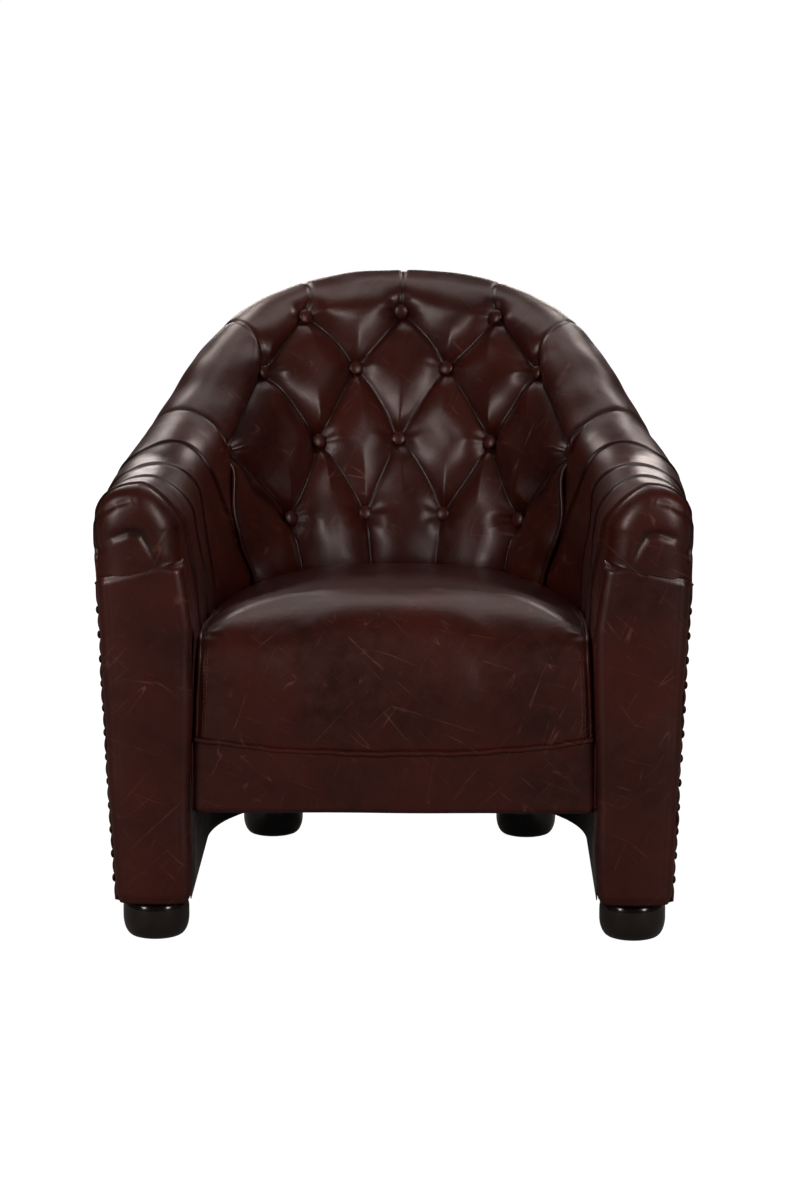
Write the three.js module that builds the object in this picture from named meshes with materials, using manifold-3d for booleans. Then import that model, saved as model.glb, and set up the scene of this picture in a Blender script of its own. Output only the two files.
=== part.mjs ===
// A tub armchair in buttoned leather: a timber horseshoe frame, foam pads, leather covers and bun feet.
// Millimetres, +Z up, the sitter faces -Y. The origin is on the floor, under the middle of the chair.
// Nothing moves: the seat, the back and the arms are fixed to one frame.
import * as THREE from "three";
import { mergeVertices } from "three/addons/utils/BufferGeometryUtils.js";
import Module from "manifold-3d";

const wasm = await Module();
wasm.setup();

// ---- driving dimensions ----
const WIDTH = 780;
const DEPTH = 860;
const ARM_HEIGHT = 600;
const HEIGHT = 800;
const WALL_FOOT = 55; // height of the tub wall's lower edge
const SEAT_LINE = 400; // height where the seat meets the inside of the tub
const TUB_CENTRE = -100; // Y of the axis that the rear of the tub turns about
const FRONT = -DEPTH / 2;
const GAP = 0.4; // clearance between pieces that touch
const LEATHER = 2.6;

// ---- the tub wall, as radius from the axis against height ----
const BASE_RADIUS = 360; // outside, at the wall's foot
const SEAT_RADIUS = 250; // inside, at the seat line
const LINING_RADIUS = 262; // inside, under the seat
const LINING_TOP = 180;
const FOAM_FOOT = 255; // lower edge of the foam and of the inside covers
const RIM_HALF_HEIGHT = 58;
const HEM_DROP = 128; // the covers roll over the rim and are hemmed this far below its top
const ROLL_OVERHANG = 12;
const FOAM = 45;
const BOARD = 4;
const ARM_THICKNESS_OUT = WIDTH / 2;
const ARM_THICKNESS_IN = 262;
const ARM_TAPER = 10.5; // the arms' tops draw in by this much towards the front
const LEAN_POWER = 3.4; // the wall leans out only towards the rear
// Every piece of the wall has sections at these places, so that pieces that lie face to face keep their gap.
const STATIONS = [0, 11, 22, 33, 38.3, 43.7, 49, 54.4, 61.3, 68.3, 73.8, 79.2, 84.6, 90];
const ARM_TO = 33; // where the arm covers and foam meet the back's
const BACK_FROM = 54.4; // where the outside arm covers meet the outside back's
const SLIT = 0.1; // degrees between two pieces that meet end to end

// ---- buttons: each row's height, and its buttons' angles from the middle of the back ----
const BUTTON_ROWS = [
  [742, [0, 21.7]],
  [668, [10.8, 35.6]],
  [570, [0, 21.7, 57]],
  [472, [10.8, 35.6]],
];
const BUTTON_SINK = 9;
const FOLD = 5; // depth of the folds between buttons
const PILLOW = 8; // swell of the padding between folds
const FOLD_WIDTH = 15;

// A station is a plane that stands across the tub wall. place <= 0 is a distance in front of the tub's axis
// along a straight arm, and place > 0 is an angle in degrees round to the rear, which is at 90.
function station(side, place) {
  const angle = THREE.MathUtils.degToRad(Math.max(place, 0));
  const rear = Math.sin(angle);
  const climb = rear * rear - 0.045 * Math.sin(2 * Math.PI * rear * rear); // the rim climbs in a gentle S
  return {
    place,
    fromMiddle: side * (90 - place),
    x: side * Math.cos(angle),
    y: rear,
    originY: TUB_CENTRE + Math.min(place, 0),
    lean: rear ** LEAN_POWER,
    taper: (ARM_TAPER * Math.min(place, 0)) / (FRONT - TUB_CENTRE),
    top: ARM_HEIGHT + (HEIGHT - ARM_HEIGHT) * climb,
  };
}
const standing = (st, [r, z]) => new THREE.Vector3(st.x * r, st.originY + st.y * r, z);

const shoulder = (st) => st.top - RIM_HALF_HEIGHT;
const hem = (st) => st.top - HEM_DROP;
const leanOut = (st) => ARM_THICKNESS_OUT + (DEPTH / 2 - TUB_CENTRE - ARM_THICKNESS_OUT) * st.lean;
const rimOut = (st) => leanOut(st) - st.taper;
const rimIn = (st) => ARM_THICKNESS_IN + (400 - ARM_THICKNESS_IN) * st.lean;
const lerp = THREE.MathUtils.lerp;

function outside(st, z) {
  const hemRadius = leanOut(st) - ROLL_OVERHANG;
  if (z > hem(st)) return lerp(hemRadius + 2, rimOut(st), (z - hem(st)) / (shoulder(st) - hem(st)));
  return lerp(BASE_RADIUS, hemRadius, (z - WALL_FOOT) / (hem(st) - WALL_FOOT));
}
function inside(st, z) {
  if (z <= LINING_TOP) return LINING_RADIUS;
  if (z <= SEAT_LINE) return lerp(LINING_RADIUS, SEAT_RADIUS, (z - LINING_TOP) / (SEAT_LINE - LINING_TOP));
  const rise = (z - SEAT_LINE) / (shoulder(st) - SEAT_LINE);
  return lerp(SEAT_RADIUS, rimIn(st), rise ** 1.1);
}
// The inside face carried on over the rim, as a point at a height and the way its surface faces.
function insidePoint(st, z) {
  const middle = (rimOut(st) + rimIn(st)) / 2;
  const half = (rimOut(st) - rimIn(st)) / 2;
  if (z > shoulder(st)) {
    const rise = Math.min(1, (z - shoulder(st)) / RIM_HALF_HEIGHT);
    const swing = Math.sqrt(1 - rise * rise);
    return { r: middle - half * swing, z, faceR: -swing, faceZ: rise };
  }
  return { r: inside(st, z), z, faceR: -1, faceZ: 0 };
}
// Buttons as points on the unrolled back, in millimetres, and the folds that join each to those above it.
const UNROLLED = 5; // millimetres of back to a degree
const tufts = BUTTON_ROWS.flatMap(([z, angles], row) =>
  angles.flatMap((a) => (a ? [-a, a] : [0])).map((a) => ({ at: new THREE.Vector2(a * UNROLLED, z), row })),
);
const folds = tufts.flatMap((low) =>
  tufts
    .filter((high) => high.row === low.row - 1 && Math.abs(high.at.x - low.at.x) < 130)
    .map((high) => [low.at, high.at]),
);
function offSegment(p, [a, b]) {
  const run = b.clone().sub(a);
  const share = THREE.MathUtils.clamp(p.clone().sub(a).dot(run) / run.lengthSq(), 0, 1);
  return p.distanceTo(a.clone().addScaledVector(run, share));
}
// How far the buttoned back stands out from the plain wall.
function puff(st, z) {
  const p = new THREE.Vector2(st.fromMiddle * UNROLLED, z);
  const fold = Math.min(...folds.map((f) => offSegment(p, f)));
  const button = Math.min(...tufts.map((t) => p.distanceTo(t.at)));
  const near = Math.exp(-((fold / FOLD_WIDTH) ** 2));
  const swell = PILLOW - (PILLOW + FOLD) * near - BUTTON_SINK * Math.exp(-((button / FOLD_WIDTH) ** 2));
  const low = THREE.MathUtils.smoothstep(z, 400, 440);
  const high = 1 - THREE.MathUtils.smoothstep(z, st.top - 26, st.top - 8);
  const end = THREE.MathUtils.smoothstep(57.2 - Math.abs(st.fromMiddle), 0, 3);
  return swell * low * high * Math.max(end, Math.exp(-((button / FOLD_WIDTH) ** 2)));
}
// The outside half of the rounded rim, from the shoulder up to the top, set in by an inset.
function rimOutside(st, inset) {
  const middle = (rimOut(st) + rimIn(st)) / 2;
  const half = (rimOut(st) - rimIn(st)) / 2 - inset;
  return [0, 1, 2, 3, 4].map((i) => {
    const turn = (Math.PI * i) / 8;
    return [middle + half * Math.cos(turn), shoulder(st) + (RIM_HALF_HEIGHT - inset) * Math.sin(turn)];
  });
}
// The inside from the rim's top down to a given height. Its rows pass through the rows of buttons.
function insideFace(st, inset, foot) {
  const rows = BUTTON_ROWS.map(([z], i) => Math.min(z, st.top - [20, 45, 70, 95][i]));
  const middles = rows.slice(1).map((z, i) => (z + rows[i]) / 2);
  const between = rows.flatMap((z, i) => (i < middles.length ? [z, middles[i]] : [z]));
  const heights = [st.top - 4, st.top - 13, ...between, 436, SEAT_LINE, foot];
  return heights.map((z) => {
    const p = insidePoint(st, z);
    const out = (st.place >= ARM_TO - SLIT ? puff(st, z) : 0) - inset;
    return [p.r + p.faceR * out, p.z + p.faceZ * out];
  });
}
// The skin's section from the hem over the rim and down the inside.
const skin = (st, inset) => [
  [outside(st, hem(st) + 1.5) - inset, hem(st) + 1.5],
  ...rimOutside(st, inset),
  ...insideFace(st, inset, FOAM_FOOT),
];

// ---- solids ----
function closed(points, triangles) {
  const geometry = new THREE.BufferGeometry().setFromPoints(points).setIndex(triangles);
  let volume = 0;
  for (let i = 0; i < triangles.length; i += 3) {
    const [a, b, c] = [0, 1, 2].map((k) => points[triangles[i + k]]);
    volume += a.dot(b.clone().cross(c));
  }
  if (volume < 0) geometry.setIndex(triangles.slice().reverse());
  return geometry;
}
// A solid through rings of equal count. The flats are its end rings as plane points, to cut the caps from.
function loft(rings, flatStart, flatEnd = flatStart) {
  const plane = (flat) => flat.map(([r, z]) => new THREE.Vector2(r, z));
  if (THREE.ShapeUtils.isClockWise(plane(flatStart))) {
    const reversed = (list) => list.slice().reverse();
    return loft(rings.map(reversed), reversed(flatStart), reversed(flatEnd));
  }
  const count = rings[0].length;
  const triangles = [];
  for (let k = 0; k + 1 < rings.length; k++) {
    for (let i = 0; i < count; i++) {
      const [a, b] = [k * count + i, k * count + ((i + 1) % count)];
      // Each four-cornered face is split from its lower corner, so that faces side by side are split alike.
      const lowest = rings[k][i].z <= rings[k][(i + 1) % count].z;
      if (lowest) triangles.push(a, b, b + count, a, b + count, a + count);
      else triangles.push(a, b, a + count, b, b + count, a + count);
    }
  }
  const last = (rings.length - 1) * count;
  for (const [a, b, c] of THREE.ShapeUtils.triangulateShape(plane(flatStart), [])) triangles.push(a, c, b);
  for (const [a, b, c] of THREE.ShapeUtils.triangulateShape(plane(flatEnd), [])) {
    triangles.push(last + a, last + b, last + c);
  }
  return closed(rings.flat(), triangles);
}
// A stretch of the wall: one section at every station.
function wall(stations, section) {
  const flats = stations.map(section);
  const rings = stations.map((st, i) => flats[i].map((p) => standing(st, p)));
  return loft(rings, flats[0], flats[flats.length - 1]);
}
// Stations from one place to another on one side: the two ends and every fixed station between them.
function along(side, from, to) {
  const between = STATIONS.filter((p) => p > from && p < to);
  return [from, ...between, to].map((p) => station(side, p));
}
// Stations round the rear, from a place on the left to the same place on the right.
function round(from) {
  const left = along(-1, from, 90);
  const right = along(1, from, 90).reverse().slice(1);
  return [...left, ...right];
}
function solid(geometry) {
  const bare = new THREE.BufferGeometry().setAttribute("position", geometry.getAttribute("position"));
  if (geometry.index) bare.setIndex(geometry.index);
  const merged = mergeVertices(bare, 1e-3);
  return new wasm.Manifold(
    new wasm.Mesh({
      numProp: 3,
      vertProperties: merged.attributes.position.array,
      triVerts: new Uint32Array(merged.index.array),
    }),
  );
}
function geometryOf(manifold) {
  const mesh = manifold.getMesh();
  return new THREE.BufferGeometry()
    .setAttribute("position", new THREE.BufferAttribute(new Float32Array(mesh.vertProperties), 3))
    .setIndex(new THREE.BufferAttribute(new Uint32Array(mesh.triVerts), 1));
}
const box = (x0, x1, y0, y1, z0, z1) =>
  new THREE.BoxGeometry(x1 - x0, y1 - y0, z1 - z0).translate((x0 + x1) / 2, (y0 + y1) / 2, (z0 + z1) / 2);

// ---- materials ----
const finish = (color, roughness) => new THREE.MeshStandardMaterial({ color, roughness, metalness: 0 });
const leather = finish("#4a231c", 0.38);
const foamed = finish("#d8cfae", 0.95);
const timber = finish("#b98d5b", 0.75);
const plywood = finish("#c7a06c", 0.8);
const fibreboard = finish("#8a6a48", 0.9);
const lacquer = finish("#16110f", 0.3);
const cloth = finish("#15130f", 0.95);
const steel = new THREE.MeshStandardMaterial({ color: "#8d8f92", roughness: 0.4, metalness: 1 });
const brass = new THREE.MeshStandardMaterial({ color: "#6d4a2c", roughness: 0.4, metalness: 1 });

const chair = new THREE.Group();
function add(name, geometry, material) {
  const mesh = new THREE.Mesh(geometry, material);
  mesh.name = name;
  chair.add(mesh);
  return mesh;
}
const sides = [
  ["left", -1],
  ["right", 1],
];

// ---- timber frame ----
const BASE_THICKNESS = 18;
const POST_FOOT = WALL_FOOT + 2 + BASE_THICKNESS + GAP;
const FACING_BACK = FRONT + 15.4; // the facing and the cover's front are padded
const FRONT_BOARD_BACK = FRONT + 28;
const FRONT_BOARD_INSET = 26;
const POST_REACH = 65; // front post, along the arm
const POST_IN = 307;
const POST_OUT = 350;
const RAIL_DROP = 86; // underside of the rim rails below the rim's top
const RAIL_COVER = 50; // foam and leather over the rim rails
const REAR_POST_FROM = 50.5;
const REAR_POST_TO = 58.5;
const SEAT_RAIL_FOOT = 185;
const SEAT_RAIL_TOP = 245;
const front = (y) => y - TUB_CENTRE; // place of a station on the straight arm, from its Y

const baseBoard = () => [
  [LINING_RADIUS + 2, WALL_FOOT + 2],
  [BASE_RADIUS - 8, WALL_FOOT + 2],
  [BASE_RADIUS - 8, WALL_FOOT + 2 + BASE_THICKNESS],
  [LINING_RADIUS + 2, WALL_FOOT + 2 + BASE_THICKNESS],
];
const rimRail = (st) => {
  const centre = (rimIn(st) + rimOut(st)) / 2 + 15;
  return [
    [centre - 22, st.top - RAIL_DROP],
    [centre + 22, st.top - RAIL_DROP],
    [centre + 22, st.top - RAIL_COVER],
    [centre - 22, st.top - RAIL_COVER],
  ];
};
const seatRail = () => [
  [283, SEAT_RAIL_FOOT],
  [316, SEAT_RAIL_FOOT],
  [316, SEAT_RAIL_TOP],
  [283, SEAT_RAIL_TOP],
];
const REAR_POST_TOP = station(1, REAR_POST_FROM).top - RAIL_COVER;
const rearPost = (st) => [
  [303, POST_FOOT],
  [347, POST_FOOT],
  [rimOut(st) - 28, REAR_POST_TOP],
  [rimOut(st) - 70, REAR_POST_TOP],
];
for (const [name, side] of sides) {
  add(`base_board_${name}`, wall(along(side, front(FRONT_BOARD_BACK + GAP), 22 - SLIT), baseBoard), plywood);
  const [x0, x1] = [side * POST_IN, side * POST_OUT].sort((a, b) => a - b);
  const postTop = ARM_HEIGHT - RAIL_DROP - GAP;
  const [postFront, postBack] = [FRONT_BOARD_BACK + GAP, FRONT_BOARD_BACK + GAP + POST_REACH];
  add(`front_post_${name}`, box(x0, x1, postFront, postBack, POST_FOOT, postTop), timber);
  const rearStations = [station(side, REAR_POST_FROM), station(side, REAR_POST_TO)];
  add(`rear_post_${name}`, wall(rearStations, rearPost), timber);
  add(`arm_rail_${name}`, wall(along(side, front(postFront), REAR_POST_FROM - SLIT), rimRail), timber);
}
add("base_board_rear", wall(round(22), baseBoard), plywood);
add("back_top_rail", wall(round(REAR_POST_TO + SLIT), rimRail), timber);
const railStart = front(FRONT_BOARD_BACK + POST_REACH + 2 * GAP);
add("seat_horseshoe_rail", wall(round(railStart), seatRail), timber);
const [RAIL_FRONT, RAIL_BACK] = [FRONT + 32, FRONT + 60];
const reach = POST_IN - GAP;
add("seat_front_rail", box(-reach, reach, RAIL_FRONT, RAIL_BACK, SEAT_RAIL_FOOT, SEAT_RAIL_TOP), timber);

// ---- boards that close the wall ----
const shellBoard = (st) => {
  const heights = [WALL_FOOT + 2, (WALL_FOOT + hem(st)) / 2, hem(st) - 1];
  const out = heights.map((z) => [outside(st, z) - LEATHER - GAP, z]);
  const back = heights.map((z) => [outside(st, z) - LEATHER - GAP - BOARD, z]).reverse();
  return [...out, ...back];
};
// The rounded top of an arm's end.
function archOf(st, inset) {
  const inner = insideFace(st, inset, FOAM_FOOT).filter(([, z]) => z > shoulder(st) - 1);
  return [...rimOutside(st, inset), ...inner, [rimIn(st) + inset, shoulder(st)]];
}
// The arm's front outline, set in by an inset, between two heights.
function outline(inset, foot, top) {
  const st = station(1, front(FRONT));
  const heights = [WALL_FOOT, 180, 290, 400, 471, 486, 515].filter((z) => z > foot + 1 && z < top - 1);
  const out = [foot, ...heights].map((z) => [outside(st, z) - inset, z]);
  const square = [[outside(st, top) - inset, top], [inside(st, top) + inset, top]];
  const over = top < ARM_HEIGHT ? square : archOf(st, inset);
  const back = [foot, ...heights].reverse().map((z) => [inside(st, z) + inset, z]);
  return [...out, ...over, ...back];
}
const slab = (side, y0, y1, flat) => wall([station(side, front(y0)), station(side, front(y1))], () => flat);
for (const [name, side] of sides) {
  const board = outline(FRONT_BOARD_INSET, WALL_FOOT + 2, ARM_HEIGHT);
  add(`arm_front_board_${name}`, slab(side, FACING_BACK + 1, FRONT_BOARD_BACK, board), plywood);
  const shellPath = along(side, front(FRONT_BOARD_BACK + GAP), BACK_FROM - SLIT);
  add(`outer_shell_${name}`, wall(shellPath, shellBoard), fibreboard);
}
add("outer_shell_back", wall(round(BACK_FROM), shellBoard), fibreboard);

// ---- black cloth under the seat ----
const liningSection = () => [
  [LINING_RADIUS - 0.3, WALL_FOOT + 2],
  [LINING_RADIUS + 1.2, WALL_FOOT + 2],
  [LINING_RADIUS + 1.2, LINING_TOP + 1],
  [LINING_RADIUS - 0.3, LINING_TOP + 1],
];
add("inner_lining", wall(round(front(FACING_BACK + GAP)), liningSection), cloth);

// A horseshoe in plan: a half circle behind the tub's axis and straight sides to a front edge.
function horseshoe(radius, frontY, inset, corner) {
  const r = radius - inset;
  const y = frontY + inset;
  const points = [];
  for (let i = 0; i <= 12; i++) {
    const turn = (Math.PI * i) / 12;
    points.push([r * Math.cos(turn), TUB_CENTRE + r * Math.sin(turn)]);
  }
  points.push([-r, -250], [-r, y + corner], [-r + corner, y], [r - corner, y], [r, y + corner], [r, -250]);
  return points;
}
function stack(layers, flatAt) {
  const rings = layers.map(({ flat, z }) => flat.map(([x, y]) => new THREE.Vector3(x, y, flatAt(z, y))));
  return loft(rings, layers[0].flat, layers[layers.length - 1].flat);
}
const DUST_TOP = SEAT_RAIL_FOOT - GAP;
const dustPlan = horseshoe(280, FRONT + 34, 0, 8);
add(
  "dust_cover",
  stack([{ flat: dustPlan, z: DUST_TOP - 2 }, { flat: dustPlan, z: DUST_TOP }], (z) => z),
  cloth,
);

// ---- seat springs: four zigzag wires from the front rail to the rear of the horseshoe rail ----
const WIRE = 2; // wire radius
const SPRING_Z = SEAT_RAIL_TOP + WIRE + 1;
const SPRING_SWING = 20;
const SPRING_LOOPS = 8;
[-150, -50, 50, 150].forEach((x, i) => {
  const rearY = TUB_CENTRE + Math.sqrt(300 * 300 - x * x);
  const frontY = (RAIL_FRONT + RAIL_BACK) / 2;
  const bends = SPRING_LOOPS * 2 + 1;
  const path = Array.from({ length: bends }, (_, k) => {
    const swing = k === 0 || k === bends - 1 ? 0 : SPRING_SWING * (k % 2 ? 1 : -1);
    return new THREE.Vector3(x + swing, lerp(frontY, rearY, k / (bends - 1)), SPRING_Z);
  });
  const wire = new THREE.Shape();
  wire.absarc(0, 0, WIRE, 0, 2 * Math.PI);
  const extrudePath = new THREE.CatmullRomCurve3(path);
  const options = { extrudePath, steps: 34, curveSegments: 3, bevelEnabled: false };
  add(`seat_spring_${i + 1}`, new THREE.ExtrudeGeometry(wire, options), steel);
});

// ---- seat ----
const SEAT_FRONT = FRONT + 25;
const SEAT_PLAN = 246.5;
const SEAT_TOP = 443;
const SEAT_SLOPE = 0.09; // fall of the seat's top towards the rear
const WELT_Z = FOAM_FOOT + 1;
function seatBody(inset, foot) {
  const layers = [
    [foot, 0],
    [375, 0],
    [405, 7],
    [427, 27],
    [438, 62],
    [SEAT_TOP, 115],
  ].map(([z, pull], i) => ({
    flat: horseshoe(SEAT_PLAN, SEAT_FRONT, pull + inset, 14),
    z: i ? z - inset : z,
  }));
  const sloped = (z, y) => z - (SEAT_SLOPE * Math.max(0, y + 300) * Math.max(0, z - 260)) / (SEAT_TOP - 260);
  return stack(layers, sloped);
}
add("seat_foam", seatBody(LEATHER + GAP, FOAM_FOOT), foamed);
const seatShell = solid(seatBody(0, WELT_Z + 4)).subtract(solid(seatBody(LEATHER, WELT_Z - 10)));
add("seat_cover", geometryOf(seatShell), leather);
const BORDER_FOOT = 172;
const BORDER = 252; // half its width
add("front_border", box(-BORDER, BORDER, SEAT_FRONT, SEAT_FRONT + 5, BORDER_FOOT, WELT_Z - 4), leather);
const weltLine = new THREE.LineCurve3(
  new THREE.Vector3(-BORDER, SEAT_FRONT - 2, WELT_Z),
  new THREE.Vector3(BORDER, SEAT_FRONT - 2, WELT_Z),
);
const weltRound = new THREE.Shape();
weltRound.absarc(0, 0, 3.5, 0, 2 * Math.PI);
const weltRun = { extrudePath: weltLine, steps: 1, curveSegments: 4, bevelEnabled: false };
add("seat_welt", new THREE.ExtrudeGeometry(weltRound, weltRun), leather);

// ---- foam of the arms and the back ----
const foamSection = (st) => {
  const inset = LEATHER + GAP;
  const coreIn = (z) => inside(st, z) + FOAM;
  return [
    ...skin(st, inset),
    [coreIn(FOAM_FOOT), FOAM_FOOT],
    [coreIn(SEAT_LINE), SEAT_LINE],
    [rimIn(st) + FOAM, shoulder(st)],
    [rimIn(st) + FOAM, st.top - 46],
    [rimOut(st) - 15, st.top - 46],
    [leanOut(st) - 15 - ROLL_OVERHANG, hem(st) + 1],
  ];
};
for (const [name, side] of sides) {
  const foamPath = along(side, front(FRONT_BOARD_BACK + GAP), ARM_TO - SLIT);
  add(`arm_foam_${name}`, wall(foamPath, foamSection), foamed);
}
add("back_foam", wall(round(ARM_TO), foamSection), foamed);

// ---- leather covers ----
const coverSection = (st) => [...skin(st, 0), ...skin(st, LEATHER).reverse()];
const outsideSection = (st) => {
  const heights = [WALL_FOOT, (WALL_FOOT + hem(st)) / 2, hem(st) + 0.4];
  const clampTop = (z) => outside(st, Math.min(z, hem(st)));
  const out = heights.map((z) => [clampTop(z), z]);
  const back = heights.map((z) => [clampTop(z) - LEATHER, z]).reverse();
  return [...out, ...back];
};
const FACING_TOP = 485;
for (const [name, side] of sides) {
  const shell = solid(wall(along(side, front(FACING_BACK + GAP), ARM_TO - SLIT), coverSection));
  const cap = solid(slab(side, FRONT, FACING_BACK + 2 * GAP, outline(0, FACING_TOP, ARM_HEIGHT)));
  add(`arm_cover_${name}`, geometryOf(shell.add(cap)), leather);
  add(`arm_facing_${name}`, slab(side, FRONT, FACING_BACK, outline(0, WALL_FOOT, FACING_TOP - GAP)), leather);
  const outsidePath = along(side, front(FACING_BACK + GAP), BACK_FROM - SLIT);
  add(`outside_arm_cover_${name}`, wall(outsidePath, outsideSection), leather);
}
add("inside_back_cover", wall(round(ARM_TO), coverSection), leather);
add("outside_back_cover", wall(round(BACK_FROM), outsideSection), leather);

// ---- covered buttons, each seated in its dimple ----
const BUTTON_RADIUS = 11;
const SEATED = 13.5; // the button's back above the bottom of the dimple
const domed = [[0, 0], [9, 0], [BUTTON_RADIUS, 2], [9, 5], [0, 7]].map(([r, h]) => new THREE.Vector2(r, h));
BUTTON_ROWS.forEach(([z, angles], row) => {
  const places = angles.flatMap((a) => (a ? [-a, a] : [0])).sort((a, b) => a - b);
  places.forEach((from, i) => {
    const st = station(Math.sign(from) || 1, 90 - Math.abs(from));
    const p = insidePoint(st, z);
    const lean = z > shoulder(st) ? 0 : (inside(st, z + 5) - inside(st, z - 5)) / 10;
    const facing = new THREE.Vector3(st.x * p.faceR, st.y * p.faceR, p.faceZ + lean).normalize();
    const button = add(`button_${row + 1}_${i + 1}`, new THREE.LatheGeometry(domed, 10), leather);
    button.position.copy(standing(st, [p.r, p.z])).addScaledVector(facing, SEATED - FOLD - BUTTON_SINK);
    button.quaternion.setFromUnitVectors(new THREE.Vector3(0, 1, 0), facing);
  });
});

// ---- tack strips: a row of domed nails down the front edge of each outside arm ----
const NAIL_PITCH = 32;
const NAIL_COUNT = 12;
const NAIL_FOOT = 85;
const NAIL_Y = FRONT + 22;
const nail = [[0, 0], [5.5, 0], [4.5, 2.2], [0, 3.6]].map(([r, h]) => new THREE.Vector2(r, h));
for (const [name, side] of sides) {
  const strip = [
    [NAIL_FOOT - 10, 0.3],
    [NAIL_FOOT - 10, 1.5],
    [NAIL_FOOT + NAIL_PITCH * (NAIL_COUNT - 1) + 10, 1.5],
    [NAIL_FOOT + NAIL_PITCH * (NAIL_COUNT - 1) + 10, 0.3],
  ];
  const st = station(side, front(NAIL_Y));
  const flat = strip.map(([z, off]) => [outside(st, z) + off, z]);
  let strips = solid(slab(side, NAIL_Y - 4, NAIL_Y + 4, flat));
  for (let i = 0; i < NAIL_COUNT; i++) {
    const z = NAIL_FOOT + NAIL_PITCH * i;
    const head = new THREE.LatheGeometry(nail, 8).rotateZ((-side * Math.PI) / 2);
    strips = strips.add(solid(head.translate(side * (outside(st, z) + 1), NAIL_Y, z)));
  }
  add(`tack_strip_${name}`, geometryOf(strips), brass);
}

// ---- bun feet, each turned with its fixing stud, which stands up in a hole in the base board ----
const FOOT_TOP = WALL_FOOT + 2 - GAP;
const STUD = 4;
const STUD_TOP = POST_FOOT - 1;
const footProfile = [
  [0, 0],
  [30, 0],
  [39, 7],
  [43, 19],
  [43, 36],
  [40, 50],
  [35, FOOT_TOP],
  [STUD, FOOT_TOP],
  [STUD, STUD_TOP],
  [0, STUD_TOP],
].map(([r, z]) => new THREE.Vector2(r, z));
const rearFoot = standing(station(1, 55), [320, 0]);
const feet = {
  foot_front_left: [-310, -370],
  foot_front_right: [310, -370],
  foot_rear_left: [-rearFoot.x, rearFoot.y],
  foot_rear_right: [rearFoot.x, rearFoot.y],
};
for (const [name, [x, y]] of Object.entries(feet)) {
  const turned = new THREE.LatheGeometry(footProfile, 20).rotateX(Math.PI / 2);
  add(name, turned.translate(x, y, 0), lacquer);
}
// Each base board is drilled for the studs that stand in it.
for (const board of chair.children.filter((mesh) => mesh.name.startsWith("base_board"))) {
  let drilled = solid(board.geometry);
  for (const [x, y] of Object.values(feet)) {
    const drill = new THREE.CylinderGeometry(STUD + 0.5, STUD + 0.5, 60, 12).rotateX(Math.PI / 2);
    drilled = drilled.subtract(solid(drill.translate(x, y, WALL_FOOT + 10)));
  }
  board.geometry = geometryOf(drilled);
}

export default chair;
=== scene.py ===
import math

import bpy
import numpy as np
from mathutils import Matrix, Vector
from mathutils.bvhtree import BVHTree


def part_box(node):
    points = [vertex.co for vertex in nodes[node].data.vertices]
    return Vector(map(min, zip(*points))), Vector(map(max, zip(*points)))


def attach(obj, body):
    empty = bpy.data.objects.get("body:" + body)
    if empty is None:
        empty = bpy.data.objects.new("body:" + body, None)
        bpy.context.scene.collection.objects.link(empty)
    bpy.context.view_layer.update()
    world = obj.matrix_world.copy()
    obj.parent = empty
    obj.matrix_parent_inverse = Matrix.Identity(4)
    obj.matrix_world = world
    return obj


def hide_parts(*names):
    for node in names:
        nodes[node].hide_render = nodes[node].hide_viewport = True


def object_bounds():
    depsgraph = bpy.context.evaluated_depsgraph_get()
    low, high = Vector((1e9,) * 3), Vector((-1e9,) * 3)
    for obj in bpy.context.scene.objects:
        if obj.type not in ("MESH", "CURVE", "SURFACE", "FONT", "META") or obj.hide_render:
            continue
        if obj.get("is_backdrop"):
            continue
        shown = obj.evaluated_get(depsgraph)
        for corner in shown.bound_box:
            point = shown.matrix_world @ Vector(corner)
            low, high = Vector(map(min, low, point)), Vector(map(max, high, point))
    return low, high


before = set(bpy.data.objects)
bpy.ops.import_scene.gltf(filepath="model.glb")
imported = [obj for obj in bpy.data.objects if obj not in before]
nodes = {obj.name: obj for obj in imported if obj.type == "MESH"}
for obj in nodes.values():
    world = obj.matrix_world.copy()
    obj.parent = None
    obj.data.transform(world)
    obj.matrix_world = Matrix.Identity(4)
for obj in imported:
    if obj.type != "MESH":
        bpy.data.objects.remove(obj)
cad_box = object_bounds()

# ---- Hardwood frame ----
# Beech posts and rails stand inside the tub: front posts, rear posts that lean with the back, rim rails
# and the rails that carry the seat. They are planed, glued and doweled, and the covers hide them.


def linear(hex_colour):
    """A colour written as sRGB hex, as the linear values that shaders work in."""
    parts = [int(hex_colour[i : i + 2], 16) / 255 for i in (1, 3, 5)]
    return [c / 12.92 if c <= 0.04045 else ((c + 0.055) / 1.055) ** 2.4 for c in parts] + [1.0]


def add(tree, kind, inputs, **settings):
    """Adds one node with its settings. An input is a value, or another node's output socket."""
    node = tree.nodes.new("ShaderNode" + kind)
    for name, value in settings.items():
        setattr(node, name, value)
    for name, value in inputs.items():
        if isinstance(value, bpy.types.NodeSocket):
            tree.links.new(value, node.inputs[name])
        else:
            node.inputs[name].default_value = value
    return node


def start_material(name, roughness, **sockets):
    """A new material, its node tree, its shader, and the object's coordinates in metres."""
    material = bpy.data.materials.new(name)
    material.use_nodes = True
    tree = material.node_tree
    shader = tree.nodes["Principled BSDF"]
    shader.inputs["Roughness"].default_value = roughness
    for socket, value in sockets.items():
        shader.inputs[socket.replace("_", " ")].default_value = value
    return material, tree, shader, add(tree, "TexCoord", {}).outputs["Object"]


def plug(tree, shader, **sockets):
    """Links node outputs into the shader. An underscore stands for a space in a socket's name."""
    for socket, output in sockets.items():
        tree.links.new(output, shader.inputs[socket.replace("_", " ")])


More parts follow.
